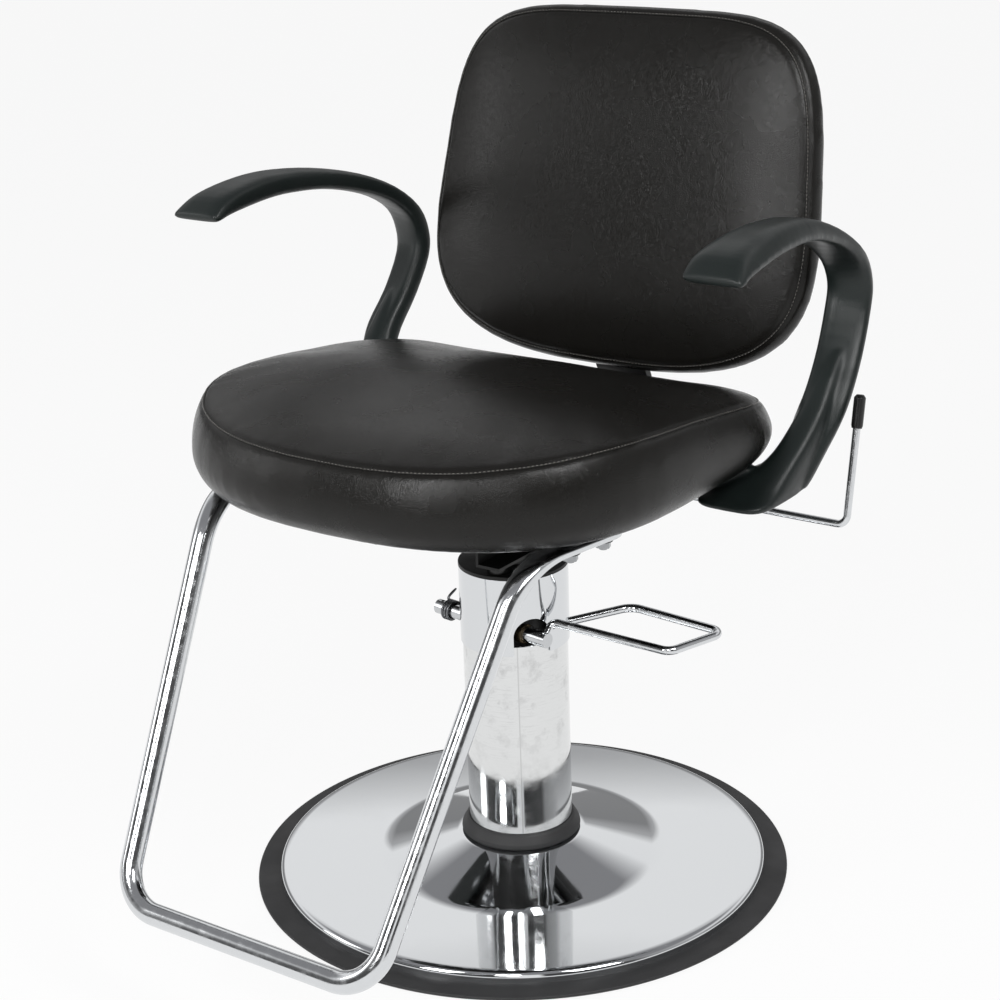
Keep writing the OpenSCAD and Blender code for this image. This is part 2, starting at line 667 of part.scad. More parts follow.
// Stations of the band, tip to foot: x, y, height above the seat board's underside, thickness, width,
// heading, twist, outer bevel
arm_mid = arm_gap / 2;
band_stations = [
    [arm_mid + 10, -118, 237, 6, pad_w + 8, 22, 0, 0.1], [arm_mid + 10, -113, 238.5, 13, pad_w + 13, 22, 0, 0.2],
    [arm_mid + 9, -96, 246, 22, pad_w + 12, 17, 0, 0.35], [arm_mid + 8, -67.5, 251, 26, pad_w + 8, 12, 0, 0.42],
    [arm_mid + 6, -28, 254.5, 26.5, pad_w + 3, 4, 0, 0.45], [arm_mid + 3, 10, 254, 25, pad_w, 0, 0, 0.45],
    [arm_mid - 4, 59, 249, 22.5, pad_w - 1, -8.5, 0, 0.42], [arm_mid - 12, 111, 237, 21.5, pad_w - 2, -19, 2, 0.38],
    [arm_mid - 16, 161, 218, 20.5, pad_w - 3, -38, 6, 0.3], [arm_mid - 17.5, 199, 192.5, leg_t + 3, leg_w + 1, -62, 13, 0.2],
    [arm_leg_x + 1, 214, 164, leg_t + 6, leg_w, -87, 18, 0.12], [arm_leg_x, 211.5, 136.5, leg_t + 6, leg_w, -103, 21, 0.1],
    [arm_leg_x + 3, 189, 96, leg_t + 6, leg_w, -117, 22, 0.1], [arm_leg_x + 6, 160, 61, leg_t + 7, leg_w, -121, 21, 0.1],
    [arm_leg_x + 3, 143, 36, leg_t + 5, leg_w, -120, 18, 0.1], [arm_leg_x - 3, 129, 9, leg_t + 3, leg_w - 4, -116, 12, 0.1],
    [arm_leg_x - 8, 117, -16, leg_t + 1, leg_w - 10, -112, 6, 0.1], [arm_leg_x - 10, 112, -28, leg_t - 4, leg_w - 16, -105, 4, 0.1]];

// Stations of the foot, level rings from the sole upwards: x0 and x1 from the leg's middle, y0, y1,
// height above the sole, squareness
foot_stations = [
    [-73, -1, 26, 123, 0, 0.5], [-76, 3, 21.5, 127, 2, 0.45], [-77, 4.5, 19.5, 128.5, 5, 0.45],
    [-75, 5, 22, 129, 8, 0.45], [-71, 6, 34, 130, 11, 0.48], [-58, 7.5, 50, 132, 18, 0.55],
    [-36, 10, 67, 137, 30, 0.6], [-24, 13, 84, 143, 45, 0.65], [-18, 16, 105, 152, 64, 0.72],
    [-13, 17, 130, 164, 88, 0.8], [-9, 15, 152, 178, 112, 0.9], [-6, 12, 176, 190, 134, 1]];

// Rounded section whose outer side leans in towards the outside of the curve
function band_ring(c, n, w, t, b, e, bevel, k) =
    [for (i = [0:k - 1]) let (a = 360 * i / k, p = spow(cos(a), e), q = spow(sin(a), e))
        c + n * (t * p) + w * (b * q * (q > 0 ? 1 - bevel * (p + 1) / 2 : 1))];

module arm() {
    rows = smooth_rows(band_stations, 3);
    feet = smooth_rows(foot_stations, 2);
    difference() {
        union() {
            loft([for (q = rows) let (n = [0, -sin(q[5]), cos(q[5])], w = [1, 0, 0])
                band_ring([q[0], q[1], seat_h + q[2]], n * cos(q[6]) - w * sin(q[6]), w * cos(q[6]) + n * sin(q[6]),
                          q[3] / 2, q[4] / 2, 0.55, q[7], 24)]);
            loft([for (i = [len(feet) - 1:-1:0]) let (q = feet[i])
                ring([arm_leg_x + (q[0] + q[1]) / 2, (q[2] + q[3]) / 2, arm_sole_z + q[4]], [0, 1, 0], [1, 0, 0],
                     (q[3] - q[2]) / 2, (q[1] - q[0]) / 2, q[5], 28)]);
            translate([0, 0, arm_sole_z + 4]) linear_extrude(arm_boss_z - arm_sole_z - 4) hull() {
                for (q = arm_bolts_at) translate(q) circle(r = 12, $fn = 32);
                translate([arm_leg_x - 42, 76]) circle(r = 8, $fn = 32);
            }
        }
        for (q = arm_bolts_at) translate([q[0], q[1], arm_sole_z - 20]) cylinder(r = 4 + slip_fit, h = 60, $fn = 32);
    }
}
module arm_right() { color(urethane) arm(); }
module arm_left() { color(urethane) mirror([1, 0, 0]) arm(); }

module arm_bolts() {
    color(steel) for (s = [-1, 1]) for (q = arm_bolts_at)
        translate([s * q[0], q[1], arm_sole_z - 0.1]) bolt(7.8, arm_boss_z - arm_sole_z + 9, 5.5);
}

// --- recline hinge and lever ----------------------------------------------------------------

pin_end = rail_x + rail_t + 9;

module hinge_pin() {
    color(steel) difference() {
        bar_x(hinge_r, -pin_end, pin_end, hinge_y, hinge_z);
        for (s = [-1, 1]) translate([s * (pin_end - 5) - 0.7, hinge_y, hinge_z]) rotate([0, 90, 0])
            tube(hinge_r + 1, hinge_r - 1.4, 1.4);
    }
}
module hinge_clips() {
    color(steel) for (s = [-1, 1]) translate([s * (pin_end - 5) - 0.6, hinge_y, hinge_z]) rotate([0, 90, 0])
        difference() {
            tube(hinge_r + 3.5, hinge_r - 1.3, 1.2);
            translate([-3, -20, -1]) cube([6, 20, 4]);
        }
}

module lever_spring() {
    wire = 0.9;
    coil_r = lever_r + 0.8 + wire;
    turns = 5;
    pts = concat(
        [[rail_x + rail_t + 4, lever_y + 15, lever_z + 22], [rail_x + rail_t + 4, lever_y + coil_r + 1, lever_z + 6]],
        [for (i = [0:turns * 12]) let (a = 30 * i)
            [rail_x + rail_t + 4 + 2.4 * i / 12, lever_y + coil_r * cos(a), lever_z + coil_r * sin(a)]]);
    color(steel) rod_sweep(pts, wire, 6, [1, 0, 0]);
}

module hinge_knuckle() {
    color(black) difference() {
        bar_x(knuckle_r, -rail_x + 0.5, rail_x - 0.5, hinge_y, hinge_z);
        bar_x(hinge_r + run_fit, -rail_x, rail_x, hinge_y, hinge_z);
    }
}

// Depth d behind the seam and height s up the back, as y and z
function on_back(d, s) = [back_y + d * cos(back_tilt) + s * sin(back_tilt),
                          back_z - d * sin(back_tilt) + s * cos(back_tilt)];
back_y = hinge_y + 33.5;
back_z = seat_h + 211.5;
panel_t = 8;
bar_d = back_side + seat_gap + panel_t + seat_gap + bar_t / 2;
bar_path = [[hinge_y + knuckle_r - 3, hinge_z + 1], [hinge_y + 33, hinge_z + 7], [hinge_y + 52, hinge_z + 25],
            [hinge_y + 57, hinge_z + 50], [hinge_y + 55, hinge_z + 70], [hinge_y + 49, hinge_z + 83],
            on_back(bar_d + 0.8, -157), on_back(bar_d, -140), on_back(bar_d, -122), on_back(bar_d, -6)];

module bent_strip(p, t) {
    for (i = [0:len(p) - 2]) let (v = p[i + 1] - p[i]) translate(p[i]) rotate(atan2(v[1], v[0])) {
        translate([0, -t / 2]) square([norm(v), t]);
        if (i > 0) circle(d = t, $fn = 32);
    }
}

back_bolt_s = [-104, -30];
back_bolt_x = 18;

// Flat steel, bent to clear the seat and laid against the back
module back_bar() {
    color(black) difference() {
        translate([-bar_w / 2, 0, 0]) rotate([90, 0, 90]) linear_extrude(bar_w) difference() {
            bent_strip(smooth_path, bar_t);
            translate([hinge_y, hinge_z]) circle(r = knuckle_r + 0.1);
        }
        back_bolt_places() translate([0, 0, -30]) cylinder(r = 4 + slip_fit, h = 60, $fn = 32);
    }
}
smooth_path = [for (q = smooth_rows([for (p = bar_path) [p[0], p[1]]], 4)) q];

module back_place() { translate([0, back_y, back_z]) rotate([-back_tilt, 0, 0]) children(); }
module back_bolt_places() {
    back_place() for (x = [-back_bolt_x, back_bolt_x]) for (s = back_bolt_s)
        translate([x, back_side, s]) rotate([-90, 0, 0]) children();
}

// Toothless brake quadrant: the lever's cam bears on its rim
module lock_quadrant() {
    color(steel) translate([cam_x, hinge_y, hinge_z]) rotate([90, 0, 90]) linear_extrude(cam_w) difference() {
        union() {
            circle(r = knuckle_r + 6);
            intersection() {
                circle(r = quadrant_r);
                polygon([[0, 0], [60 * cos(152), 60 * sin(152)], [60 * cos(185), 60 * sin(185)],
                         [60 * cos(220), 60 * sin(220)], [60 * cos(250), 60 * sin(250)]]);
            }
        }
        circle(r = knuckle_r + 0.1);
        translate([24 * cos(196), 24 * sin(196)]) circle(r = 4);
    }
}

module lever_cam() {
    a = atan2(hinge_z - lever_z, hinge_y - lever_y);
    reach = norm([hinge_z - lever_z, hinge_y - lever_y]) - quadrant_r - 0.5;
    color(steel) translate([cam_x, lever_y, lever_z]) rotate([90, 0, 90]) linear_extrude(cam_w) difference() {
        hull() {
            circle(r = lever_r + 3.5, $fn = 48);
            rotate(a) translate([reach - 7, 0]) circle(r = 7, $fn = 48);
        }
        circle(r = lever_r + 0.05, $fn = 48);
    }
}

module lever_up() { translate([0, lever_y, lever_z]) rotate([-lever_lean, 0, 0]) children(); }
upright = 100;

module lever_rod() {
    bend = 10;
    k = 8;
    pts = concat([[lever_reach - bend - 6, 0, 0]],
        [for (i = [0:k]) let (a = 90 * i / k) [lever_reach - bend + bend * sin(a), 0, bend - bend * cos(a)]],
        [[lever_reach, 0, upright + 16]]);
    color(chrome) union() {
        bar_x(lever_r, -rail_x - rail_t - 8, lever_reach - bend, lever_y, lever_z);
        lever_up() rod_sweep(pts, lever_r - 0.05, 16, [0, 1, 0]);
    }
}

module lever_grip() {
    color(black) lever_up() translate([lever_reach, 0, upright]) difference() {
        union() {
            cylinder(d = grip_d - 1, h = 2);
            translate([0, 0, 2]) cylinder(d = grip_d, h = grip_len - 5);
            translate([0, 0, grip_len - 3]) cylinder(d1 = grip_d, d2 = grip_d - 5, h = 3);
        }
        translate([0, 0, -1]) cylinder(r = lever_r + 0.02, h = 18);
    }
}

// --- back -----------------------------------------------------------------------------------

back_mid = -10;

// Outline of the back, drawn in by inset: arched below, squarer and narrower above
function back_point(t, inset) =
    let (w = back_w / 2 - inset, up = sin(t) > 0, l = (up ? back_up : back_down) + 7 - inset, e = up ? 2 / 5 : 2 / 2.95)
    [w * spow(cos(t), e) * (up ? 1 - 0.08 * spow(sin(t), e) : 1), back_mid + l * spow(sin(t), e)];
function back_outline(inset, n) = [for (i = [0:n - 1]) back_point(360 * i / n, inset)];

// Inset and depth of each ring of the cushion, from its crown to its rear edge
back_layers = [[190, -15], [120, -14], [60, -11], [25, -6], [7, 0], [2, 7], [0, 15], [0, 24], [4, 31],
               [12, back_side]];
board_in = 20;
back_board_t = 12;

module back_cushion() {
    color(vinyl) back_place() difference() {
        loft([for (q = back_layers) [for (p = back_outline(q[0], 48)) [p[0], q[1], p[1]]]]);
        translate([0, back_side + 1, 0]) rotate([90, 0, 0])
            linear_extrude(back_board_t + 1 + seat_gap) polygon(back_outline(board_in - seat_gap, 72));
    }
}
module back_board() {
    color("burlywood") difference() {
        back_place() translate([0, back_side, 0]) rotate([90, 0, 0])
            linear_extrude(back_board_t) polygon(back_outline(board_in, 72));
        back_bolt_places() translate([0, 0, -back_board_t + 2]) cylinder(r = 4.1, h = 60, $fn = 32);
    }
}
module back_panel() {
    color(vinyl) difference() {
        back_place() translate([0, back_side + seat_gap + panel_t, 0]) rotate([90, 0, 0]) {
            translate([0, 0, 2]) linear_extrude(panel_t - 2) polygon(back_outline(16, 72));
            linear_extrude(2) polygon(back_outline(19, 72));
        }
        back_bolt_places() translate([0, 0, -1]) cylinder(r = 4 + slip_fit, h = 60, $fn = 32);
    }
}
module back_bolts() {
    color(steel) back_bolt_places() translate([0, 0, bar_d - back_side + bar_t / 2 + 0.05]) mirror([0, 0, 1])
        bolt(7.8, bar_t + panel_t + 9, 5);
}

trim_ring();
ballast_disc();
base_plate();
pump_flange();
flange_bolts();
column_collar();
lower_tube();
pump_body();
shaft_bushes();
upper_sleeve();
pump_cap();
oil_plug();
ram_seal();
return_spring();
ram();
cross_shaft();
pedal_loop();
shaft_screws();
seat_socket();
swivel_bush();
mounting_plate();
socket_bolts();
rail_left();
rail_right();
rail_bolts();
seat_board();
board_bolts();
seat_cushion();
footrest_tube();
footrest_pads();
footrest_bolts();
footrest_washers();
footrest_nuts();
arm_left();
arm_right();
arm_bolts();
hinge_pin();
hinge_clips();
lever_spring();
hinge_knuckle();
back_bar();
lock_quadrant();
back_board();
back_cushion();
back_panel();
back_bolts();
lever_rod();
lever_grip();
lever_cam();
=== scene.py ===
# %% [markdown]
# # A styling chair for a hair salon
#
# The chair arrives as a construction model: every bolt, tube and board is already in its place. What it
# lacks is its looks. This notebook gives it upholstery that swells between its seams, moulded arms with
# soft edges, bent tubes without facets, and a material for every surface.
# All lengths are in metres, the chair faces -Y, and the floor is at Z = 0.

# %% Load the construction model
import json
import math
import bpy
import numpy as np
from mathutils import Matrix, Vector
from mathutils.bvhtree import BVHTree
from mathutils.kdtree import KDTree


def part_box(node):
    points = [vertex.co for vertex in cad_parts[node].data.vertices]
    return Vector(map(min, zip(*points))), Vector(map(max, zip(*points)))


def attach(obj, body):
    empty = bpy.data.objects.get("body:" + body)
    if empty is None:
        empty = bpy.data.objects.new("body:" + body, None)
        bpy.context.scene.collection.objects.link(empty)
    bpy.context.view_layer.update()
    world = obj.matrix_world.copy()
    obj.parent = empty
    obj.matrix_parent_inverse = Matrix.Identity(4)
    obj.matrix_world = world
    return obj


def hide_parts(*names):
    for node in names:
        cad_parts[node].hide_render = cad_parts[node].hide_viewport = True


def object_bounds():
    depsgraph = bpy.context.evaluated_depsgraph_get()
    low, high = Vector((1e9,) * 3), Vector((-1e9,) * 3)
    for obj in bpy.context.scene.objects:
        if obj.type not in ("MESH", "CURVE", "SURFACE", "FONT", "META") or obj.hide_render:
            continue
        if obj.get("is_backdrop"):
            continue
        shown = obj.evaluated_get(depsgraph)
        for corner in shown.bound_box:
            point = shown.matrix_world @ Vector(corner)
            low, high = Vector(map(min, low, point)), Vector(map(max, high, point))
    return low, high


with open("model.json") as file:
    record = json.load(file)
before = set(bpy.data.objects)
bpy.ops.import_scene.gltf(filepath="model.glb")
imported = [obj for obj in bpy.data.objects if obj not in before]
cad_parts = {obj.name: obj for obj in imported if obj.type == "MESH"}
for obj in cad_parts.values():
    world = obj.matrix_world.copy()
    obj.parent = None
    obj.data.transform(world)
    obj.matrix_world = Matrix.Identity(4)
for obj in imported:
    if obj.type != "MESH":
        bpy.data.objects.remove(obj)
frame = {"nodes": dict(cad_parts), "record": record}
cad_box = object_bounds()
MM = 0.001

# %% [markdown]
# Operators act on whatever is selected, and loading leaves everything selected. So each piece starts by
# deselecting all, and one small helper makes a single object active before it is edited.

# %% Selecting, modifying and naming a piece
def only(piece):
    """Selects one object alone and makes it active."""
    if bpy.context.object and bpy.context.object.mode != "OBJECT":
        bpy.ops.object.mode_set(mode="OBJECT")
    bpy.ops.object.select_all(action="DESELECT")
    piece.select_set(True)
    bpy.context.view_layer.objects.active = piece
    return piece


def modify(piece, kind, **settings):
    """Adds one modifier with its settings and applies it at once."""
    only(piece)
    modifier = piece.modifiers.new(kind.lower(), kind)
    for name, value in settings.items():
        setattr(modifier, name, value)
    bpy.ops.object.modifier_apply(modifier=modifier.name)
    return piece


def smooth(piece, degrees=180):
    """Smooth shading, with edges sharper than the angle kept crisp."""
    only(piece)
    if degrees >= 180:
        bpy.ops.object.shade_smooth()
    else:
        bpy.ops.object.shade_smooth_by_angle(angle=math.radians(degrees))
    return piece


def named(piece, name):
    """Gives the object and its mesh the same name."""
    piece.name = name
    piece.data.name = name
    return piece


def settled(piece, name):
    """Names a new piece and moves its place into its mesh, so that its object sits at the origin."""
    only(piece)
    bpy.ops.object.transform_apply(location=True, rotation=True, scale=True)
    return named(piece, name)

# %% [markdown]
# In edit mode an operator shapes whatever is selected in the mesh. A construction node's mesh is loose
# triangles, so a copy of it is welded there before anything else is done to it.

# %% Edit mode, and a welded copy of a node
def edit(piece, mode="VERT"):
    """Opens a piece for editing with everything in it selected."""
    only(piece)
    bpy.ops.object.mode_set(mode="EDIT")
    bpy.ops.mesh.select_mode(type=mode)
    bpy.ops.mesh.select_all(action="SELECT")


def done():
    """Leaves edit mode."""
    bpy.ops.object.mode_set(mode="OBJECT")


WELD = 0.00002


def copy_of(node, name):
    """A construction node's copy with its triangles welded to one closed skin."""
    piece = frame["nodes"][node].copy()
    piece.data = piece.data.copy()
    for key in list(piece.keys()):
        del piece[key]
    bpy.context.scene.collection.objects.link(piece)
    piece.parent = None
    piece.matrix_world = Matrix.Identity(4)
    edit(piece)
    bpy.ops.mesh.customdata_custom_splitnormals_clear()
    bpy.ops.mesh.remove_doubles(threshold=WELD)
    done()
    return named(piece, name)

# %% [markdown]
# Some shapes are easier to say as a sum over all vertices than as an operator. Then the vertices' places
# are read to an array, moved there, and written back.

# %% Reading and writing all vertices at once
def rows_of(piece, what):
    """One row of three numbers for each vertex: its place or its normal."""
    rows = np.empty(len(piece.data.vertices) * 3)
    piece.data.vertices.foreach_get(what, rows)
    return rows.reshape(-1, 3)


def places(piece):
    return rows_of(piece, "co")


def normals(piece):
    return rows_of(piece, "normal")


def set_places(piece, co):
    piece.data.vertices.foreach_set("co", np.ascontiguousarray(co, float).ravel())
    piece.data.update()

# %% [markdown]
# A finished piece gets its materials, rides on one body of the chair, and hides the construction nodes that
# it takes the place of.

# %% Finishing a piece
def finished(piece, body, *materials, stands_for=(), slot=None):
    """Gives a piece its materials and lets it ride on a body."""
    piece.data.materials.clear()
    for material in materials:
        piece.data.materials.append(material)
    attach(piece, body)
    if stands_for:
        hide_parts(*stands_for)
    print(f"{piece.name}: {len(piece.data.vertices)} vertices, rides on {body}")
    return piece

# %% [markdown]
# ## Materials
#
# Colours are written as sRGB hex values, as a paint chip would give them, and one function turns them to
# the linear numbers that a shader wants. A second small function adds a node with its settings and its
# links. Every pattern reads Object coordinates, which are metres here, so a scale of 1000 / size in
# millimetres repeats a pattern at its real size.
#
# Most finishes need the same few steps: cloudy noise, that noise stretched to the range of a gloss, a
# colour between two others, and relief of a real depth. Each step is one short function.

# %% Colour and node helpers
def linear(hex_colour):
    """#rrggbb as written on a chip, in linear light."""
    parts = [int(hex_colour[i:i + 2], 16) / 255 for i in (1, 3, 5)]
    return tuple(c / 12.92 if c <= 0.04045 else ((c + 0.055) / 1.055) ** 2.4 for c in parts) + (1.0,)


def add(tree, kind, inputs=None, **settings):
    """Adds one node. An input is a plain value, or an output socket to link from."""
    made = tree.nodes.new("ShaderNode" + kind)
    for name, value in settings.items():
        setattr(made, name, value)
    for name, value in (inputs or {}).items():
        if isinstance(value, bpy.types.NodeSocket):
            tree.links.new(value, made.inputs[name])
        else:
            made.inputs[name].default_value = value
    return made


def surface(name, colour, roughness, **sockets):
    """A material with its Principled shader; further sockets are given by name, with _ for a space."""
    material = bpy.data.materials.new(name)
    material.use_nodes = True
    tree = material.node_tree
    shader = tree.nodes["Principled BSDF"]
    shader.inputs["Base Color"].default_value = linear(colour)
    shader.inputs["Roughness"].default_value = roughness
    for key, value in sockets.items():
        shader.inputs[key.replace("_", " ")].default_value = value
    where = add(tree, "TexCoord").outputs["Object"]
    return material, tree, shader, where


def spots(tree, where, size_mm, detail, rough=0.5):
    """Soft cloudy noise whose blobs are about size_mm across."""
    return add(tree, "TexNoise", {"Vector": where, "Scale": 1000 / size_mm, "Detail": detail,
                                  "Roughness": rough}).outputs[0]


def spread(tree, value, low, high, start=0.3, end=0.7):
    """Stretches a 0..1 pattern to the range low..high."""
    return add(tree, "MapRange", {"Value": value, "From Min": start, "From Max": end, "To Min": low,
                                  "To Max": high}).outputs[0]


def mixed(tree, factor, first, second):
    """The first colour where the factor is 0 and the second where it is 1."""
    mix = add(tree, "Mix", {"Factor": factor, 6: first, 7: second}, data_type="RGBA")
    return mix.outputs[2]


def tint(tree, factor, first, second):
    """A colour between two hex colours."""
    return mixed(tree, factor, linear(first), linear(second))


def bump(tree, shader, height, depth_mm, strength=1.0, before=None):
    """Relief of a real depth, after any earlier relief."""
    inputs = {"Height": height, "Distance": depth_mm * MM, "Strength": strength}
    if before:
        inputs["Normal"] = before
    out = add(tree, "Bump", inputs).outputs["Normal"]
    tree.links.new(out, shader.inputs["Normal"])
    return out


print("charcoal in linear light:", [round(c, 4) for c in linear("#171614")[:3]])

# %% [markdown]
# ### Black upholstery vinyl
#
# Salon chairs are covered in a coated fabric: a PVC skin with a fine embossed leather grain. The skin is
# charcoal black, and its gloss is low and broad, so a lamp shows as a soft patch with no clear edge.
# Rounded cells from a Voronoi pattern make the grain. A little noise bends their straight walls, and slow
# noise varies the gloss where hands have rubbed it. The real grain is about 1.2 mm; it is drawn at 2 mm
# so that it shows at this distance.

# %% Vinyl
def vinyl(name, colour, deeper, grain_mm=2.0):
    """Embossed vinyl. The noise that bends the grain's walls is 6 mm across and moves them 3.5 mm at most."""
    material, tree, shader, where = surface(name, colour, 0.26, Specular_IOR_Level=0.26, IOR=1.5)
    bend = add(tree, "TexNoise", {"Vector": where, "Scale": 1000 / 6.0}).outputs[1]
    warp = add(tree, "Mix", {"Factor": 0.0035, 4: where, 5: bend}, data_type="VECTOR").outputs[1]
    cells = add(tree, "TexVoronoi", {"Vector": warp, "Scale": 1000 / grain_mm, "Randomness": 1.0},
                feature="DISTANCE_TO_EDGE").outputs["Distance"]
    pebble = spread(tree, cells, 0.0, 1.0, 0.0, 0.22)
    slow = spots(tree, where, 60, 4)
    tree.links.new(tint(tree, spread(tree, slow, 0, 1), colour, deeper), shader.inputs["Base Color"])
    tree.links.new(spread(tree, slow, 0.22, 0.30), shader.inputs["Roughness"])
    first = bump(tree, shader, pebble, 0.12, 0.55)
    bump(tree, shader, slow, 1.0, 0.25, first)
    return material


vinyl_black = vinyl("vinyl_black_embossed", "#171614", "#141311")
# The ridge is drawn a shade lighter than the panel that it is folded from: a painted highlight along the
# seam.
vinyl_ridge_painted_highlight = vinyl("vinyl_black_ridge_painted_highlight", "#1f1e1c", "#1b1a18", 1.4)
print("vinyl:", vinyl_black.name, vinyl_ridge_painted_highlight.name)

# %% [markdown]
# ### Chrome
#
# The plate, the column, the footrest and the levers are steel, polished and chromium plated. Chromium
# reflects a little over half of the light and is faintly blue. It is nearly a mirror: what gives it life
# is what it reflects, with a slight haze of fingerprints and polishing marks in the roughness. The spun
# plate is the brightest. The bent tubes were polished by hand after bending, so they are the haziest.

# %% Chrome
def chrome(name, haze, smear_mm, clean):
    """Chromium plate: the roughness where it is clean, and the haze that smears of a size add to it."""
    material, tree, shader, where = surface(name, "#d8dadc", clean, Metallic=1.0)
    cloud = spots(tree, where, smear_mm, 6, 0.62)
    tree.links.new(spread(tree, cloud, clean, clean + haze, 0.42, 0.72), shader.inputs["Roughness"])
    bump(tree, shader, spots(tree, where, 70, 2), 0.5, 0.06)
    return material


chrome_plate = chrome("chrome_spun_plate", 0.05, 40, 0.03)
chrome_tube = chrome("chrome_bent_tube", 0.16, 10, 0.11)
chrome_column = chrome("chrome_rolled_tube", 0.09, 22, 0.03)
print("chrome:", chrome_plate.name, chrome_tube.name, chrome_column.name)

# %% [markdown]
# The lower tube is the one that hands and shoes reach. Its chrome is dulled by greasy smudges, thickest
# just under the sleeve, and by fine scratches that run round it. The tube is rolled from sheet, and its
# ground weld shows as one thin upright line. Noise squeezed along the height makes the scratches. A
# dot product with a level direction measures how far to one side of the tube a place lies, so a narrow
# range of it is an upright line. The same two directions serve the studio's walls later on.

# %% Smudged chrome
AHEAD, BESIDE = (0.5807, -0.8142, 0), (0.8142, 0.5807, 0)
WELD_MIDDLE, WELD_HALF = 0.0015, 0.0007


def smudge(material):
    """Smudges, scratches and a weld line on a chromed tube, drawn in its colour."""
    tree = material.node_tree
    where = tree.nodes["Texture Coordinate"].outputs["Object"]
    height = add(tree, "SeparateXYZ", {"Vector": where}).outputs["Z"]
    near_sleeve = spread(tree, height, 0.15, 1.0, 0.10, 0.23)
    grease = spread(tree, spots(tree, where, 26, 8, 0.66), 0.0, 0.7, 0.52, 0.76)
    squeezed = add(tree, "Mapping", {"Vector": where, "Scale": (1, 1, 14)}).outputs[0]
    scratches = spread(tree, spots(tree, squeezed, 16, 4, 0.6), 0.0, 0.26, 0.55, 0.72)
    marks = add(tree, "Math", {0: grease, 1: scratches}, operation="MAXIMUM").outputs[0]
    worn = add(tree, "Math", {0: marks, 1: near_sleeve}, operation="MULTIPLY").outputs[0]
    beside = add(tree, "VectorMath", {0: where, 1: BESIDE}, operation="DOT_PRODUCT").outputs["Value"]
    ahead = add(tree, "VectorMath", {0: where, 1: AHEAD}, operation="DOT_PRODUCT").outputs["Value"]
    line = add(tree, "Math", {0: beside, 1: WELD_MIDDLE, 2: WELD_HALF}, operation="COMPARE").outputs[0]
    front_only = spread(tree, ahead, 0.0, 0.32, 0.0, 0.002)
    weld = add(tree, "Math", {0: line, 1: front_only}, operation="MULTIPLY").outputs[0]
    dull = add(tree, "Math", {0: worn, 1: weld}, operation="MAXIMUM").outputs[0]
    tree.links.new(tint(tree, dull, "#dedfdf", "#989898"), tree.nodes["Principled BSDF"].inputs["Base Color"])
    return material


chrome_smudged = smudge(chrome("chrome_rolled_tube_smudged", 0.12, 18, 0.05))
print("smudged chrome:", chrome_smudged.name)

# %% [markdown]
# ### The other finishes
#
# Integral-skin polyurethane arms have a tough satin skin, faintly green in the light, with a fine leather
# grain from the mould. Moulded rubber is a matt dark grey. Painted steel has a slight orange peel. The
# small hardware is zinc plated, and a zinc finish is cloudy at the scale of a few millimetres.

# %% Moulded, painted and plated finishes
def moulded(name, colour, deeper, low, high, grain_mm, depth_mm, level=0.5):
    """Plastic, rubber or paint: a tint, a gloss that varies, and fine relief."""
    material, tree, shader, where = surface(name, colour, low, Specular_IOR_Level=level, IOR=1.5)
    slow = spots(tree, where, 45, 4)
    tree.links.new(tint(tree, spread(tree, slow, 0, 1), colour, deeper), shader.inputs["Base Color"])
    tree.links.new(spread(tree, slow, low, high), shader.inputs["Roughness"])
    bump(tree, shader, spots(tree, where, grain_mm, 2), depth_mm, 0.6)
    return material


def plated(name, colour, low, high, cloud_mm=5):
    """Zinc, bronze or bare steel."""
    material, tree, shader, where = surface(name, colour, low, Metallic=1.0)
    cloud = spots(tree, where, cloud_mm, 4)
    tree.links.new(spread(tree, cloud, low, high), shader.inputs["Roughness"])
    bump(tree, shader, cloud, 0.05, 0.3)
    return material


skin_foam = moulded("polyurethane_integral_skin", "#1a201f", "#141a19", 0.33, 0.46, 1.6, 0.14, 0.36)
rubber = moulded("rubber_moulded", "#2a2a2b", "#242425", 0.48, 0.60, 1.2, 0.06)
paint = moulded("steel_powder_coated", "#131313", "#101010", 0.42, 0.55, 2.2, 0.08, 0.35)
iron = moulded("iron_cast_painted", "#1a1a1a", "#141414", 0.5, 0.65, 3.0, 0.25)
glossy = moulded("polypropylene_moulded", "#0c0c0c", "#0a0a0a", 0.18, 0.28, 8.0, 0.03)
panel_abs = moulded("abs_haircell", "#161616", "#131313", 0.42, 0.52, 1.5, 0.12)
zinc = plated("steel_zinc_plated", "#a4a6a8", 0.20, 0.38)
ground = plated("steel_ground_bright", "#c6c8ca", 0.14, 0.26, 4)
spring_steel = plated("steel_spring_oiled", "#77787a", 0.25, 0.4, 3)
bronze = plated("bronze_sintered_oiled", "#5e5240", 0.4, 0.55, 2)
print("finishes made:", len(bpy.data.materials))

# %% [markdown]
# The seat board and the back board are birch plywood, stained black. A rotary-cut veneer shows long grain,
# so the noise is stretched along X, and the stain is a little thinner and duller on the hard late wood.

# %% Black stained plywood
def plywood(name):
    """Birch veneer whose grain is about 7 mm wide and 90 mm long."""
    material, tree, shader, where = surface(name, "#141312", 0.55)
    stretched = add(tree, "Mapping", {"Vector": where, "Scale": (0.08, 1, 1)}).outputs[0]
    grain = add(tree, "TexNoise", {"Vector": stretched, "Scale": 1000 / 7, "Detail": 6.0}).outputs[0]
    tree.links.new(tint(tree, spread(tree, grain, 0, 1), "#191715", "#0e0d0c"), shader.inputs["Base Color"])
    tree.links.new(spread(tree, grain, 0.45, 0.65), shader.inputs["Roughness"])
    bump(tree, shader, grain, 0.2, 0.4)
    return material


board_black = plywood("birch_plywood_black_stained")
print("wood:", board_black.name)

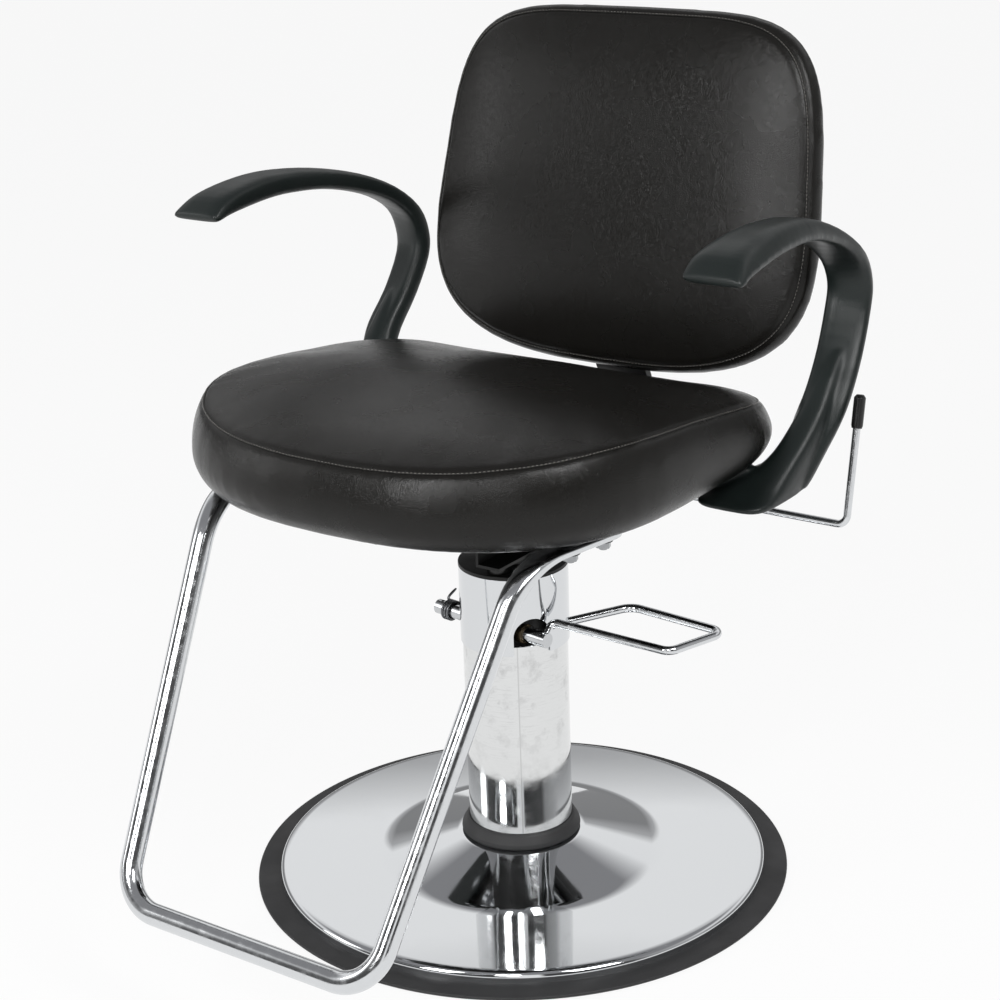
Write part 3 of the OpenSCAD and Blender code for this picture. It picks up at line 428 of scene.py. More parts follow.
# %% [markdown]
# ## The seat
#
# The seat is a foam block in a sewn cover: a top panel, a boxing round its side, and a seam where they meet.
# The seam holds its line while the foam swells on both sides of it, so that line comes first. Seen from
# above it is the shape that the seat board is cut to: a broad bow in front and squarer corners behind. Such
# an outline is a superellipse, whose exponent is 2 for an ellipse and grows as the corners fill out. Seen
# from the side the seam is highest near the sitter's thighs and falls away in front and behind.

# %% The line of the seat's seam
seat_low, seat_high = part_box("seat_cushion")
seat_half_w = (seat_high.x - seat_low.x) / 2
seat_half_l = (seat_high.y - seat_low.y) / 2
seat_mid_y = (seat_high.y + seat_low.y) / 2
seat_base_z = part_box("seat_board")[0].z
SEAT_SIDE = 90 * MM
SEAT_BOW, SEAT_CORNERS, SEAT_TAPER = 2.45, 5.5, 0.04
SEAT_INSET, SEAT_CREST = 10 * MM, 85 * MM
# The seam's fall in millimetres, over a run in metres, and the power of its curve
FALL_IN_FRONT, FALL_BEHIND = (14, 0.150, 2), (38, 0.320, 1.75)


def power(value, exponent):
    """A power that keeps the sign of its base."""
    return math.copysign(abs(value) ** exponent, value)


def seat_seam(turn):
    """A point of the seam, at a turn round the seat."""
    c, s = math.cos(turn), math.sin(turn)
    behind = s > 0
    e = 2 / SEAT_CORNERS if behind else 2 / SEAT_BOW
    x = (seat_half_w - SEAT_INSET) * power(c, e) * (1 - SEAT_TAPER * s * s if behind else 1)
    y = seat_mid_y + (seat_half_l - SEAT_INSET) * power(s, e)
    past = y - seat_mid_y + SEAT_CREST
    fall, run, curve = FALL_IN_FRONT if past < 0 else FALL_BEHIND
    return Vector((x, y, seat_base_z + SEAT_SIDE - fall * (abs(past) / run) ** curve * MM))


def even(points, step):
    """Points at equal steps along a closed line."""
    loop = [Vector(p) for p in points] + [Vector(points[0])]
    run = [0.0]
    for a, b in zip(loop, loop[1:]):
        run.append(run[-1] + (b - a).length)
    count = max(8, round(run[-1] / step))
    found, i = [], 0
    for k in range(count):
        at = run[-1] * k / count
        while run[i + 1] < at:
            i += 1
        found.append(loop[i].lerp(loop[i + 1], (at - run[i]) / max(run[i + 1] - run[i], 1e-9)))
    return found


SEAM_STEP, TURNS = 0.002, 1440


def seam_line(seam):
    """A seam as points 2 mm apart."""
    return even([seam(2 * math.pi * k / TURNS) for k in range(TURNS)], SEAM_STEP)


seat_line = seam_line(seat_seam)
print("seat seam:", round(len(seat_line) * SEAM_STEP, 3), "m long")

# %% [markdown]
# The construction solid is copied and remeshed to even squares, because cloth behaves best on those. The
# vertices at the seam and underneath are held, and a short cloth simulation with pressure and no gravity
# lets the rest swell. No vertex may move further than a cap, or the foam would balloon. Pressure crumples
# a flat panel a little, so rounds of smoothing, weak at the seam and on the boxing, even it out afterwards.

# %% Swelling a cover by simulation
PRESSURE, STIFFNESS, BENDING, STEPS = 4.0, 12, 2, 20
# How far from the seam its hold, the boxing's first swell and the smoothing reach
HOLD_REACH, SWELL_REACH, SMOOTH_REACH = 0.0045, 0.022, 0.030
# Up to what height over the seat's board, and from what depth in the back, the cover is held, and how
# softly that hold fades
SEAT_RECESS, BACK_FRONT, HOLD_FADE = 0.016, 0.027, 0.006


def tree_of(points):
    """A search tree over points, for finding the nearest one."""
    tree = KDTree(len(points))
    for i, p in enumerate(points):
        tree.insert(p, i)
    tree.balance()
    return tree


def away(tree, co):
    """Distance of each place to the nearest point of a line."""
    return np.array([tree.find(p)[2] for p in co])


def near(far, reach):
    """1 on a line, fading to 0 beyond a reach."""
    return np.exp(-(far / reach) ** 2)


def group_of(piece, name, weights, least=-1.0):
    """A vertex group with a weight for every vertex above the least."""
    group = piece.vertex_groups.new(name=name)
    for i, weight in enumerate(weights):
        if weight > least:
            group.add([i], float(min(1, weight)), "REPLACE")


def simulate(piece, start, cap):
    """Runs the cloth and keeps its result, with no vertex moved further than the cap from its start."""
    cloth = piece.modifiers.new("swell", "CLOTH").settings
    cloth.use_pressure = True
    cloth.uniform_pressure_force = PRESSURE
    cloth.effector_weights.gravity = 0
    cloth.vertex_group_mass = "held"
    cloth.tension_stiffness = cloth.compression_stiffness = STIFFNESS
    cloth.bending_stiffness = BENDING
    for step in range(1, STEPS + 1):
        bpy.context.scene.frame_set(step)
    move = places(piece.evaluated_get(bpy.context.evaluated_depsgraph_get())) - start
    size = np.linalg.norm(move, axis=1)
    piece.modifiers.clear()
    bpy.context.scene.frame_set(1)
    set_places(piece, start + move * np.minimum(1, cap / np.maximum(size, 1e-9))[:, None])
    print(f"{piece.name}: swelled {size.mean() / MM:.1f} mm on average, {size.max() / MM:.1f} mm at most")


def swollen(node, name, seam, held, panel, plump, cap, voxel):
    """A cover copied from a construction solid and swollen between its seams. Panel is the direction that
    the flat panel faces, and plump is how far the boxing stands out before the simulation."""
    piece = copy_of(node, name)
    modify(piece, "REMESH", mode="VOXEL", voxel_size=voxel)
    modify(piece, "SMOOTH", factor=0.5, iterations=4)
    co, no = places(piece), normals(piece)
    far, fixed = away(seam, co), held(co)
    flat = np.abs(no @ np.array(panel))
    free = (1 - near(far, SWELL_REACH)) * (1 - fixed)
    co = co + no * (plump * free * (1 - flat))[:, None]
    set_places(piece, co)
    group_of(piece, "held", np.maximum(fixed, near(far, HOLD_REACH)), 0.02)
    simulate(piece, co, cap)
    group_of(piece, "even_out", (1 - near(far, SMOOTH_REACH)) * (1 - fixed) * (0.15 + 0.85 * flat))
    modify(piece, "SMOOTH", factor=0.5, iterations=40, vertex_group="even_out")
    modify(piece, "SUBSURF", levels=1, render_levels=1)
    return smooth(piece)


def seat_held(co):
    """1 on the underside and in the board's recess, 0 above."""
    return np.clip((seat_base_z + SEAT_RECESS - co[:, 2]) / HOLD_FADE, 0, 1)


seat_tree = tree_of(seat_line)
seat_cover = swollen("seat_cushion", "seat_cover", seat_tree, seat_held, (0, 0, 1), 0.003, 0.014, 0.0054)

# %% [markdown]
# A seam pulls the cover in to a narrow valley. In the valley lies the folded edge of the top panel, a
# ridge about 2 mm wide, and a row of short stitches runs along it. The ridge is one closed bevelled line
# laid on the cover.

# %% The valley and the ridge of a seam
VALLEY_DEPTH, VALLEY_REACH = 0.0020, 0.0045


def valley(piece, tree):
    """Presses a narrow valley into the cover along a line."""
    co, no = places(piece), normals(piece)
    set_places(piece, co - no * (VALLEY_DEPTH * near(away(tree, co), VALLEY_REACH))[:, None])


def laid(line, piece, lift):
    """The line pressed on to the piece's skin, lifted by a little, with the skin's normals. Each place is
    the mean of seven neighbours, so that the skin's small facets don't shake the line."""
    skin = BVHTree.FromObject(piece, bpy.context.evaluated_depsgraph_get())
    found = [skin.find_nearest(p)[:2] for p in line]
    n = len(found)
    place = [sum((found[(i + k) % n][0] for k in range(-3, 4)), Vector()) / 7 for i in range(n)]
    out = [sum((found[(i + k) % n][1] for k in range(-3, 4)), Vector()).normalized() for i in range(n)]
    return [p + o * lift for p, o in zip(place, out)], out


def bead(name, line, radius):
    """A closed round bead along a line."""
    curve = bpy.data.curves.new(name, "CURVE")
    curve.dimensions = "3D"
    spline = curve.splines.new("POLY")
    spline.points.add(len(line) - 1)
    for point, place in zip(spline.points, line):
        point.co = (*place, 1)
    spline.use_cyclic_u = True
    curve.bevel_depth = radius
    curve.bevel_resolution = 2
    made = bpy.data.objects.new(name, curve)
    bpy.context.scene.collection.objects.link(made)
    only(made)
    bpy.ops.object.convert(target="MESH")
    return smooth(named(bpy.context.object, name))

# %% [markdown]
# The seam is sewn with a thick grey polyester thread. Its twist is a fine relief about 0.8 mm long. One
# stitch is a short bar with bevelled ends. It is modelled once, and its vertices are copied along the
# line, turned each time to lie along the seam. The three directions that turn it are right-handed, or
# its faces would end up inside out.

# %% Thread and stitches
STITCH_STEP, STITCH_BAR, STITCH_RADIUS = 0.0045, 0.0034 * 0.6, 0.00042


def sewing_thread():
    """Spun polyester with the relief of its twist."""
    material, tree, shader, where = surface("thread_polyester_grey", "#625f5a", 0.55)
    twist = add(tree, "TexNoise", {"Vector": where, "Scale": 1000 / 0.8}).outputs[0]
    bump(tree, shader, twist, 0.1, 0.5)
    return material


def one_stitch():
    """The vertices and faces of a stitch that lies along Z."""
    bpy.ops.object.select_all(action="DESELECT")
    bpy.ops.mesh.primitive_cylinder_add(vertices=6, radius=STITCH_RADIUS, depth=STITCH_BAR,
                                        location=(0, 0, 0))
    one = bpy.context.object
    edit(one, "FACE")
    bpy.ops.mesh.bevel(offset=STITCH_RADIUS * 0.45, segments=1)
    done()
    base, faces = places(one), [tuple(p.vertices) for p in one.data.polygons]
    bpy.data.objects.remove(one)
    return base, faces


def stitches(name, line, out):
    """One stitch, copied along the line."""
    base, faces = one_stitch()
    n = len(line)
    every = max(1, round(STITCH_STEP / (line[1] - line[0]).length))
    co, polygons = [], []
    for i in range(0, n - every + 1, every):
        along = (line[(i + 1) % n] - line[i - 1]).normalized()
        up = (out[i] - along * out[i].dot(along)).normalized()
        turn = np.array([up.cross(along), up, along])
        polygons += [tuple(v + len(co) for v in f) for f in faces]
        co += list(base @ turn + np.array(line[i]))
    mesh = bpy.data.meshes.new(name)
    mesh.from_pydata([tuple(p) for p in co], [], polygons)
    made = bpy.data.objects.new(name, mesh)
    bpy.context.scene.collection.objects.link(made)
    return smooth(made)


thread = sewing_thread()
print("thread:", thread.name, "a stitch every", STITCH_STEP / MM, "mm")

# %% [markdown]
# The ridge is sunk into the skin by about a third, and the stitches are sunk into its crown by half.

# %% Sewing a cover
RIDGE_RADIUS, RIDGE_LIFT, STITCH_LIFT = 0.0011, 0.0003, 0.0009


def sewn(piece, line, tree, body):
    """Gives a cover its seam, and puts it in the place of its construction solid."""
    label = body + "_seam"
    valley(piece, tree)
    on_skin, out = laid(line, piece, RIDGE_LIFT)
    # The ridge's lighter vinyl is a painted highlight along the seam.
    finished(bead(label + "_ridge", on_skin, RIDGE_RADIUS), body, vinyl_ridge_painted_highlight, slot="vinyl")
    over = [p + o * STITCH_LIFT for p, o in zip(on_skin, out)]
    finished(stitches(label + "_stitches", over, out), body, thread, slot="vinyl")
    finished(piece, body, vinyl_black, stands_for=[body + "_cushion"], slot="vinyl")


sewn(seat_cover, seat_line, seat_tree, "seat")

# %% [markdown]
# ## The back
#
# The back is sewn like the seat. Its seam runs round the front face, so a puffed panel sits in a frame of
# boxing. It is a superellipse again, with full corners above and a rounder sweep below. The pad leans back
# by 12 degrees, so two directions, one into the pad and one up it, turn a depth and a height on the
# drawing board into a place in the room.

# %% The line of the back's seam
BACK_TILT = math.radians(12)
back_place = Vector((0, 0.2055, 0.6895))
back_depth = Vector((0, math.cos(BACK_TILT), -math.sin(BACK_TILT)))
back_rise = Vector((0, math.sin(BACK_TILT), math.cos(BACK_TILT)))
BACK_HALF_W, BACK_INSET, BACK_TAPER = 0.241, 7 * MM, 0.08
BACK_MIDDLE, BACK_ABOVE, BACK_BELOW = -0.010, 0.222, 0.150


def back_seam(turn):
    """A point of the seam, at a turn round the back."""
    c, s = math.cos(turn), math.sin(turn)
    e, reach = (2 / 5, BACK_ABOVE) if s > 0 else (2 / 2.95, BACK_BELOW)
    x = (BACK_HALF_W - BACK_INSET) * power(c, e) * (1 - BACK_TAPER * power(s, e) if s > 0 else 1)
    return Vector((x, 0, 0)) + back_place + back_rise * (BACK_MIDDLE + reach * power(s, e))


back_line = seam_line(back_seam)
print("back seam:", round(len(back_line) * SEAM_STEP, 3), "m long")

# %% [markdown]
# The rear edge is stapled to the board and stays put. The front panel and the boxing swell, less than the
# seat does, because the back's foam is thinner and firmer.

# %% The back's cover
def back_held(co):
    """1 at the stapled rear edge, 0 in front of it."""
    depth = (co - np.array(back_place)) @ np.array(back_depth)
    return np.clip((depth - BACK_FRONT) / HOLD_FADE, 0, 1)


back_tree = tree_of(back_line)
back_cover = swollen("back_cushion", "back_cover", back_tree, back_held, back_depth, 0.0, 0.010, 0.005)
sewn(back_cover, back_line, back_tree, "back")

# %% [markdown]
# ## The arms
#
# Each arm is one moulding: a steel core with a thick polyurethane skin. Its band and its foot flow into
# each other, which two separate skins can't show. A voxel remesh joins them to one even skin of 2 mm
# squares, and a few rounds of smoothing give the small soft fillets of a moulding.

# %% One skin for each arm
for side in ("left", "right"):
    arm = copy_of("arm_" + side, "arm_skin_" + side)
    modify(arm, "REMESH", mode="VOXEL", voxel_size=2 * MM)
    modify(arm, "SMOOTH", factor=0.5, iterations=9)
    smooth(arm)
    finished(arm, "seat", skin_foam, stands_for=["arm_" + side], slot="arm_foam")

# %% [markdown]
# ## Spun and turned pieces
#
# The base plate is a steel disc, spun over a form on a lathe. A mirror finish shows every facet, so it is
# made anew from its outline: one vertex is extruded along the outline in edit mode, and the closed outline
# is spun round the Z axis in fine steps. The column's lower tube and its rubber pieces are made the same
# way.

# %% Rounded outlines and the lathe
def rounded(points, radii, steps):
    """A line of points whose inner corners become arcs."""
    points = [Vector(p) for p in points]
    line = [points[0]]
    for a, p, b, r in zip(points, points[1:], points[2:], radii):
        if not r:
            line.append(p)
            continue
        u, v = (a - p).normalized(), (b - p).normalized()
        half = u.angle(v) / 2
        middle = p + (u + v).normalized() * (r / math.sin(half))
        start = p + u * (r / math.tan(half))
        for k in range(steps + 1):
            t = (math.pi - 2 * half) * k / steps
            line.append(middle + (start - middle) * math.cos(t) - u * r * math.sin(t))
    return line + [points[-1]]


CLOSE = 0.00001


def lathe(name, outline, steps=128):
    """A closed outline of radius and height in millimetres, spun round the Z axis."""
    bpy.ops.object.select_all(action="DESELECT")
    bpy.ops.mesh.primitive_plane_add(size=0.002, location=(outline[0][0] * MM, 0, outline[0][1] * MM))
    piece = bpy.context.object
    edit(piece)
    bpy.ops.mesh.merge(type="CENTER")
    for (r0, z0), (r1, z1) in zip(outline, list(outline[1:]) + [outline[0]]):
        bpy.ops.mesh.extrude_region_move(
            TRANSFORM_OT_translate={"value": ((r1 - r0) * MM, 0, (z1 - z0) * MM)})
    bpy.ops.mesh.select_all(action="SELECT")
    bpy.ops.mesh.remove_doubles(threshold=CLOSE)
    bpy.ops.mesh.spin(steps=steps, angle=2 * math.pi, center=(0, 0, 0), axis=(0, 0, 1))
    bpy.ops.mesh.select_all(action="SELECT")
    bpy.ops.mesh.remove_doubles(threshold=CLOSE)
    bpy.ops.mesh.normals_make_consistent(inside=False)
    done()
    return smooth(settled(piece, name), 35)

# %% [markdown]
# The plate's outline starts at the collar with a level shelf, sweeps down as a shallow cone, levels out
# and rolls over at the rim. The sheet is 2 mm thick, so its inside is the same line 2 mm lower, and its
# edge turns in a little over the rubber ring.

# %% The base plate
PLATE_R, RIM_Z, RIM_R, SHEET = 267.5, 17.0, 6, 2
dome = rounded([(57.5, 43), (67.5, 43), (152, RIM_Z + 2.5), (PLATE_R - 10, RIM_Z)], (24, 70), 14)
rim = [Vector((PLATE_R - RIM_R + RIM_R * math.cos(a), RIM_Z - 6.2 + RIM_R * math.sin(a)))
       for a in map(math.radians, range(80, -17, -8))]
inner = [Vector((PLATE_R, 3.4)), Vector((PLATE_R - 0.3, 3.2)), Vector((PLATE_R - SHEET, 3.2)),
         Vector((PLATE_R - SHEET, RIM_Z - 6.2)), Vector((PLATE_R - 5, RIM_Z - 2.6))]
under = [p - Vector((0, SHEET)) for p in reversed(dome)]
plate = lathe("base_plate_spun", [tuple(p) for p in dome + rim + inner + under], 192)
finished(plate, "base", chrome_plate, stands_for=["base_plate"], slot="chrome")

# %% [markdown]
# The column's lower tube is rolled sheet, 1.5 mm thick, and its ends show a thin rounded lip.

# %% The column's lower tube
OUTER, INNER, LOW, HIGH, LIP = 56.5, 55, 21, 279, 0.5
tube_line = [(INNER, LOW + LIP), (INNER + LIP, LOW), (OUTER - LIP, LOW), (OUTER, LOW + LIP),
             (OUTER, HIGH - LIP), (OUTER - LIP, HIGH), (INNER + LIP, HIGH), (INNER, HIGH - LIP)]
lower = lathe("lower_tube_rolled", tube_line)
finished(lower, "base", chrome_smudged, stands_for=["lower_tube"], slot="chrome")

# %% [markdown]
# A soft rubber collar closes the gap between the tube and the plate. The trim ring is rubber too. It lies
# round the plate's edge, with a groove inside for the edge to sit in. Each outline is a polygon whose
# corners get the radius that a rubber moulding has there.

# %% The collar and the trim ring
collar_line = rounded([(56.7, 43.2), (62.5, 43.2), (65.5, 46), (64.5, 50), (60, 58), (58, 60), (56.7, 60)],
                      (1, 2, 4, 2.5, 0.8), 5)
collar = lathe("column_collar_moulded", [tuple(p) for p in collar_line])
finished(collar, "base", rubber, stands_for=["column_collar"], slot="rubber")

ring_line = rounded([(256, 0.4), (256.4, 0), (290, 0), (292.5, 2.2), (291.4, 4.6), (266, 6), (267.9, 6),
                     (267.9, 2.7), (254, 2.7), (254, 0.6)], (0, 2, 1.6, 1.2, 0, 0.3, 0.3, 0.3), 5)
ring = lathe("trim_ring_moulded", [tuple(p) for p in ring_line], 192)
finished(ring, "base", rubber, stands_for=["trim_ring"], slot="rubber")

# %% [markdown]
# ## Bent rods
#
# The footrest, the pedal and the lever are made from straight stock on a bending machine, and the same
# steps make them here: a round end is extruded along each straight and spun round the centre of each bend.
# So every bend is a true arc with even rings, which chrome needs.

# %% Bending
def bent(name, route, radii, radius, sides=28, ring_every=1.5):
    """A round rod along a route in millimetres, with a bend radius or 0 for each inner corner. A bend
    gets a ring about every so many millimetres."""
    route = [Vector(p) * MM for p in route]
    bpy.ops.object.select_all(action="DESELECT")
    aim = (route[1] - route[0]).normalized()
    bpy.ops.mesh.primitive_circle_add(vertices=sides, radius=radius * MM, fill_type="NOTHING",
                                      location=route[0], rotation=aim.to_track_quat("Z", "Y").to_euler())
    piece = bpy.context.object
    edit(piece, "EDGE")
    at = route[0]
    for i in range(1, len(route)):
        inner = i < len(route) - 1 and radii[i - 1] > 0
        stop = route[i]
        if inner:
            u, v = (route[i - 1] - stop).normalized(), (route[i + 1] - stop).normalized()
            half = u.angle(v) / 2
            r = radii[i - 1] * MM
            stop = stop + u * (r / math.tan(half))
        bpy.ops.mesh.extrude_region_move(TRANSFORM_OT_translate={"value": stop - at})
        at = stop
        if inner:
            centre = route[i] + (u + v).normalized() * (r / math.sin(half))
            turn = math.pi - 2 * half
            bpy.ops.mesh.spin(steps=max(4, round(turn * r / MM / ring_every)), angle=turn, center=centre,
                              axis=u.cross(v).normalized())
            at = route[i] + v * (r / math.tan(half))
    bpy.ops.mesh.select_all(action="SELECT")
    bpy.ops.mesh.fill_holes(sides=0)
    bpy.ops.mesh.normals_make_consistent(inside=False)
    done()
    return smooth(settled(piece, name), 50)

# %% [markdown]
# The footrest is one length of tube. From the middle of its bar it turns up at a toe, leans back to a knee
# under the seat, and ends in a tab that toes in by 9.8 degrees. The two halves mirror each other, so one
# half of the route is written and the other follows. The tab's end is rounded, so the rings stand close
# together there.

# %% The footrest's route
FOOT_R, KNEE_R, TOE_R = 11.0, 80, 46
toe_in, lean = math.radians(9.8), math.radians(30.8)
foot_toe = Vector((153, -456, 119))
# The seat's underside, less the rubber pad, half the pressed tube and a little clearance
foot_top = 478 - 5.5 - 4 - 0.4
inward = Vector((math.sin(toe_in), math.cos(toe_in), 0))
foot_out = (foot_top - foot_toe.z) * math.tan(lean)
foot_knee = Vector((foot_toe.x, foot_toe.y, 0)) + inward * foot_out + Vector((0, 0, foot_top))
tab_stops = [128.2, 128.0, 127.2, 125.6, 123, 119, 114, 100, 80]
half_route = [foot_knee + inward * d for d in tab_stops] + [foot_knee, foot_toe]
mirrored = [Vector((-p.x, p.y, p.z)) for p in reversed(half_route)]
corner_radii = [0] * (len(tab_stops) - 1) + [KNEE_R, TOE_R]
footrest = bent("footrest_bent", half_route + mirrored, corner_radii + corner_radii[::-1], FOOT_R, 40, 4.0)
print(f"footrest: its knees are {foot_knee.z:.0f} mm up and {foot_out:.0f} mm behind its toes")

# %% [markdown]
# The footrest's ends are pressed flat to be bolted under the seat. The tube is bent round first. Then
# every vertex of the knee moves from the circle towards a flat rounded section, further the nearer it is
# to the tab. The two bolt holes are drilled through the tab last.

# %% The footrest's pressed ends
FLAT_H, FLAT_W = 4.0, 14.2
TAB_ROUND_FROM, TAB_ROUND = 114, 14.25
leg = (foot_toe - foot_knee).normalized()
half_angle = inward.angle(leg) / 2
knee_run = KNEE_R / math.tan(half_angle)
knee_middle = foot_knee + (inward + leg).normalized() * (KNEE_R / math.sin(half_angle))
knee_axis = inward.cross(leg).normalized()
knee_start = foot_knee + inward * knee_run
knee_turn = math.pi - 2 * half_angle


def pressed(place):
    """Where a vertex of the round tube goes when the tube's end is pressed flat."""
    flip = -1 if place.x < 0 else 1
    p = Vector((place.x * flip, place.y, place.z)) / MM
    beyond = (p - knee_start).dot(inward)
    if beyond > 0:
        middle = knee_start + inward * beyond
        up, share = Vector((0, 0, 1)), 0.0
    else:
        up = p - knee_middle
        up -= knee_axis * up.dot(knee_axis)
        up.normalize()
        share = min(1.0, (knee_start - knee_middle).normalized().angle(up) / knee_turn)
        if share >= 1 or (p - foot_knee).dot(leg) > knee_run:
            return place
        middle = knee_middle + up * KNEE_R
        up = up * (1 if up.z > 0 else -1)
    share = share * share * (3 - 2 * share)
    off = p - middle
    a, b = off.dot(up) / FOOT_R, off.dot(knee_axis) / FOOT_R
    e = 0.45 + 0.55 * share
    past = (p - foot_knee).dot(inward) - TAB_ROUND_FROM
    wide = math.sqrt(max(0.0, 1 - (past / TAB_ROUND) ** 2)) if past > 0 else 1.0
    a = power(a, e) * (FLAT_H + (FOOT_R - FLAT_H) * share)
    b = power(b, e) * (FLAT_W + (FOOT_R - FLAT_W) * share) * wide
    q = (middle + up * a + knee_axis * b) * MM
    return Vector((q.x * flip, q.y, q.z))


def drill(piece, place, radius):
    """Drills an upright hole through a piece."""
    bpy.ops.object.select_all(action="DESELECT")
    bpy.ops.mesh.primitive_cylinder_add(vertices=32, radius=radius, depth=0.02, location=place)
    bit = bpy.context.object
    modify(piece, "BOOLEAN", operation="DIFFERENCE", object=bit, solver="EXACT")
    bpy.data.objects.remove(bit)


for vertex in footrest.data.vertices:
    if vertex.co.z > 0.40:
        vertex.co = pressed(vertex.co)
for flip in (-1, 1):
    for from_knee in (64, 109):
        hole = (foot_knee + inward * from_knee) * MM
        drill(footrest, (hole.x * flip, hole.y, hole.z), 0.0043)
smooth(footrest, 50)
finished(footrest, "seat", chrome_tube, stands_for=["footrest_tube"], slot="chrome")

# %% [markdown]
# The pedal is a loop of 9 mm rod. It rises out of the cross shaft, runs out along one side, across the
# tread and back beside its own root. Its points are drawn from the shaft, and one matrix puts them on the
# pump, which is turned a little on the base.

# %% The pump's pedal
on_pump = Matrix.Rotation(math.radians(-7.5), 4, "Z") @ Matrix.Translation((0, -27, 290))
pedal_points = [(64.5, 0.2, 0.2), (64.5, 15, 15), (86.5, 17, 15), (213.5, 23, 18), (229.5, 93, 20),
                (107.5, 93, 18), (76.5, 25.1, 15)]
pedal = bent("pedal_bent", [on_pump @ Vector(p) for p in pedal_points], [9, 12, 12, 12, 20], 4.5)
finished(pedal, "pedal", chrome_tube, stands_for=["pedal_loop"], slot="chrome")

# %% [markdown]
# The recline lever is an 8 mm rod with one bend. Its long leg is the shaft across the seat, and its short
# leg stands up beside the arm, leaning back by 11 degrees.

# %% The recline lever
lever_lean = math.radians(11)
upright = Vector((0, math.sin(lever_lean), math.cos(lever_lean)))
elbow = Vector((321.5, 133, 411))
lever = bent("lever_bent", [(-73, elbow.y, elbow.z), elbow, elbow + upright * 116], [10], 4.0)
finished(lever, "lever", chrome_tube, stands_for=["lever_rod"], slot="chrome")

# %% [markdown]
# The springs are already true coils. A welded copy with one subdivision gives the wire a round section.

# %% The two torsion springs
for node, body in (("return_spring", "base"), ("lever_spring", "seat")):
    coil = copy_of(node, node + "_wire")
    modify(coil, "SUBSURF", levels=1, render_levels=1)
    smooth(coil)
    finished(coil, body, spring_steel, stands_for=[node], slot="steel")

# %% [markdown]
# ## Hardware
#
# Bolts, brackets and boards come from the construction model with knife-sharp edges, and no real edge is
# that sharp. Each gets a copy whose flat triangles are dissolved to whole faces, so that a small bevel
# can run round every edge and catch a line of light. Weighted normals then keep the flat faces looking
# flat, because smooth shading would otherwise bend them towards their bevels.

# %% Eased edges
def eased(node, body, material, slot, round_mm):
    """A copy of a hard node with its sharp edges rounded."""
    piece = copy_of(node, node + "_eased")
    modify(piece, "DECIMATE", decimate_type="DISSOLVE", angle_limit=math.radians(0.6))
    modify(piece, "BEVEL", width=round_mm * MM, segments=2, limit_method="ANGLE",
           angle_limit=math.radians(32), use_clamp_overlap=True)
    smooth(piece, 35)
    modify(piece, "WEIGHTED_NORMAL", weight=80, keep_sharp=True)
    return finished(piece, body, material, stands_for=[node], slot=slot)


body_of = {node: body for body, nodes in frame["record"]["behaviour"]["bodies"].items() for node in nodes}
print("bodies:", sorted(set(body_of.values())))

# %% [markdown]
# The hardware is listed by its finish, with the radius of its edges in millimetres: a pressed or sawn
# edge is about 0.3, a cast, ground or painted one 0.5 to 1.2, and a plastic moulding has the largest.

# %% The hardware, finish by finish
hardware = [
    (zinc, "steel", 0.3, "socket_bolts rail_bolts board_bolts arm_bolts back_bolts flange_bolts hinge_pin "
                         "hinge_clips lock_quadrant lever_cam"),
    (ground, "steel", 0.5, "cross_shaft"),
    (chrome_column, "chrome", 0.3, "upper_sleeve ram"),
    (zinc, "chrome", 0.35, "footrest_bolts footrest_nuts"),
    (paint, "black_paint", 0.8, "mounting_plate rail_left rail_right seat_socket pump_cap"),
    (paint, "black_paint", 1.2, "back_bar"),
    (paint, "black_paint", 0.3, "hinge_knuckle shaft_screws"),
    (iron, "cast_iron", 0.8, "ballast_disc pump_flange pump_body"),
    (rubber, "rubber", 0.5, "footrest_pads footrest_washers ram_seal"),
    (bronze, "bronze", 0.3, "shaft_bushes swivel_bush"),
    (glossy, "plug", 0.8, "oil_plug"),
    (glossy, "grip", 1.0, "lever_grip"),
    (panel_abs, "panel", 2.0, "back_panel"),
    (board_black, "plywood", 1.0, "seat_board back_board"),
]
for material, slot, round_mm, nodes in hardware:
    for node in nodes.split():
        eased(node, body_of[node], material, slot, round_mm)

# %% [markdown]
# ## The studio
#
# A large pale floor and a white surrounding give even light at a plain level. To the camera, and to every
# mirror, the floor glows almost white, and a tenth of its light still comes from its own matt paint, so
# that the chair keeps a faint shadow.

# %% Floor
bpy.ops.object.select_all(action="DESELECT")
bpy.ops.mesh.primitive_plane_add(size=60, location=(0, 0, -0.0005))
floor = named(bpy.context.object, "floor")
floor_paint, floor_tree, floor_shader, _ = surface("floor_white_matt", "#eeeeee", 0.9, Specular_IOR_Level=0.1)
rays = add(floor_tree, "LightPath").outputs
shown = add(floor_tree, "Math", {0: rays["Is Camera Ray"], 1: rays["Is Glossy Ray"]}, operation="MAXIMUM")
share = add(floor_tree, "Math", {0: shown.outputs[0], 1: 0.90}, operation="MULTIPLY")
glow = add(floor_tree, "Emission", {"Color": (1, 1, 1, 1), "Strength": 1.0})
both = add(floor_tree, "MixShader", {0: share.outputs[0], 1: floor_shader.outputs[0],
                                     2: glow.outputs[0]})
floor_tree.links.new(both.outputs[0], floor_tree.nodes["Material Output"].inputs["Surface"])
floor.data.materials.append(floor_paint)
floor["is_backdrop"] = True
print("floor:", floor.name)

# %% [markdown]
# A mirror needs something to reflect. Behind the chair a white backdrop hangs above a grey wall, and in
# front the room is dark with an upright window in it, which, with the lamps, draws the crisp dark and
# white bands that say chrome. Ramps paint that surrounding: some by the bearing round the room, some by
# the height above the horizon. They stand still in the room, so they are the same from every side.

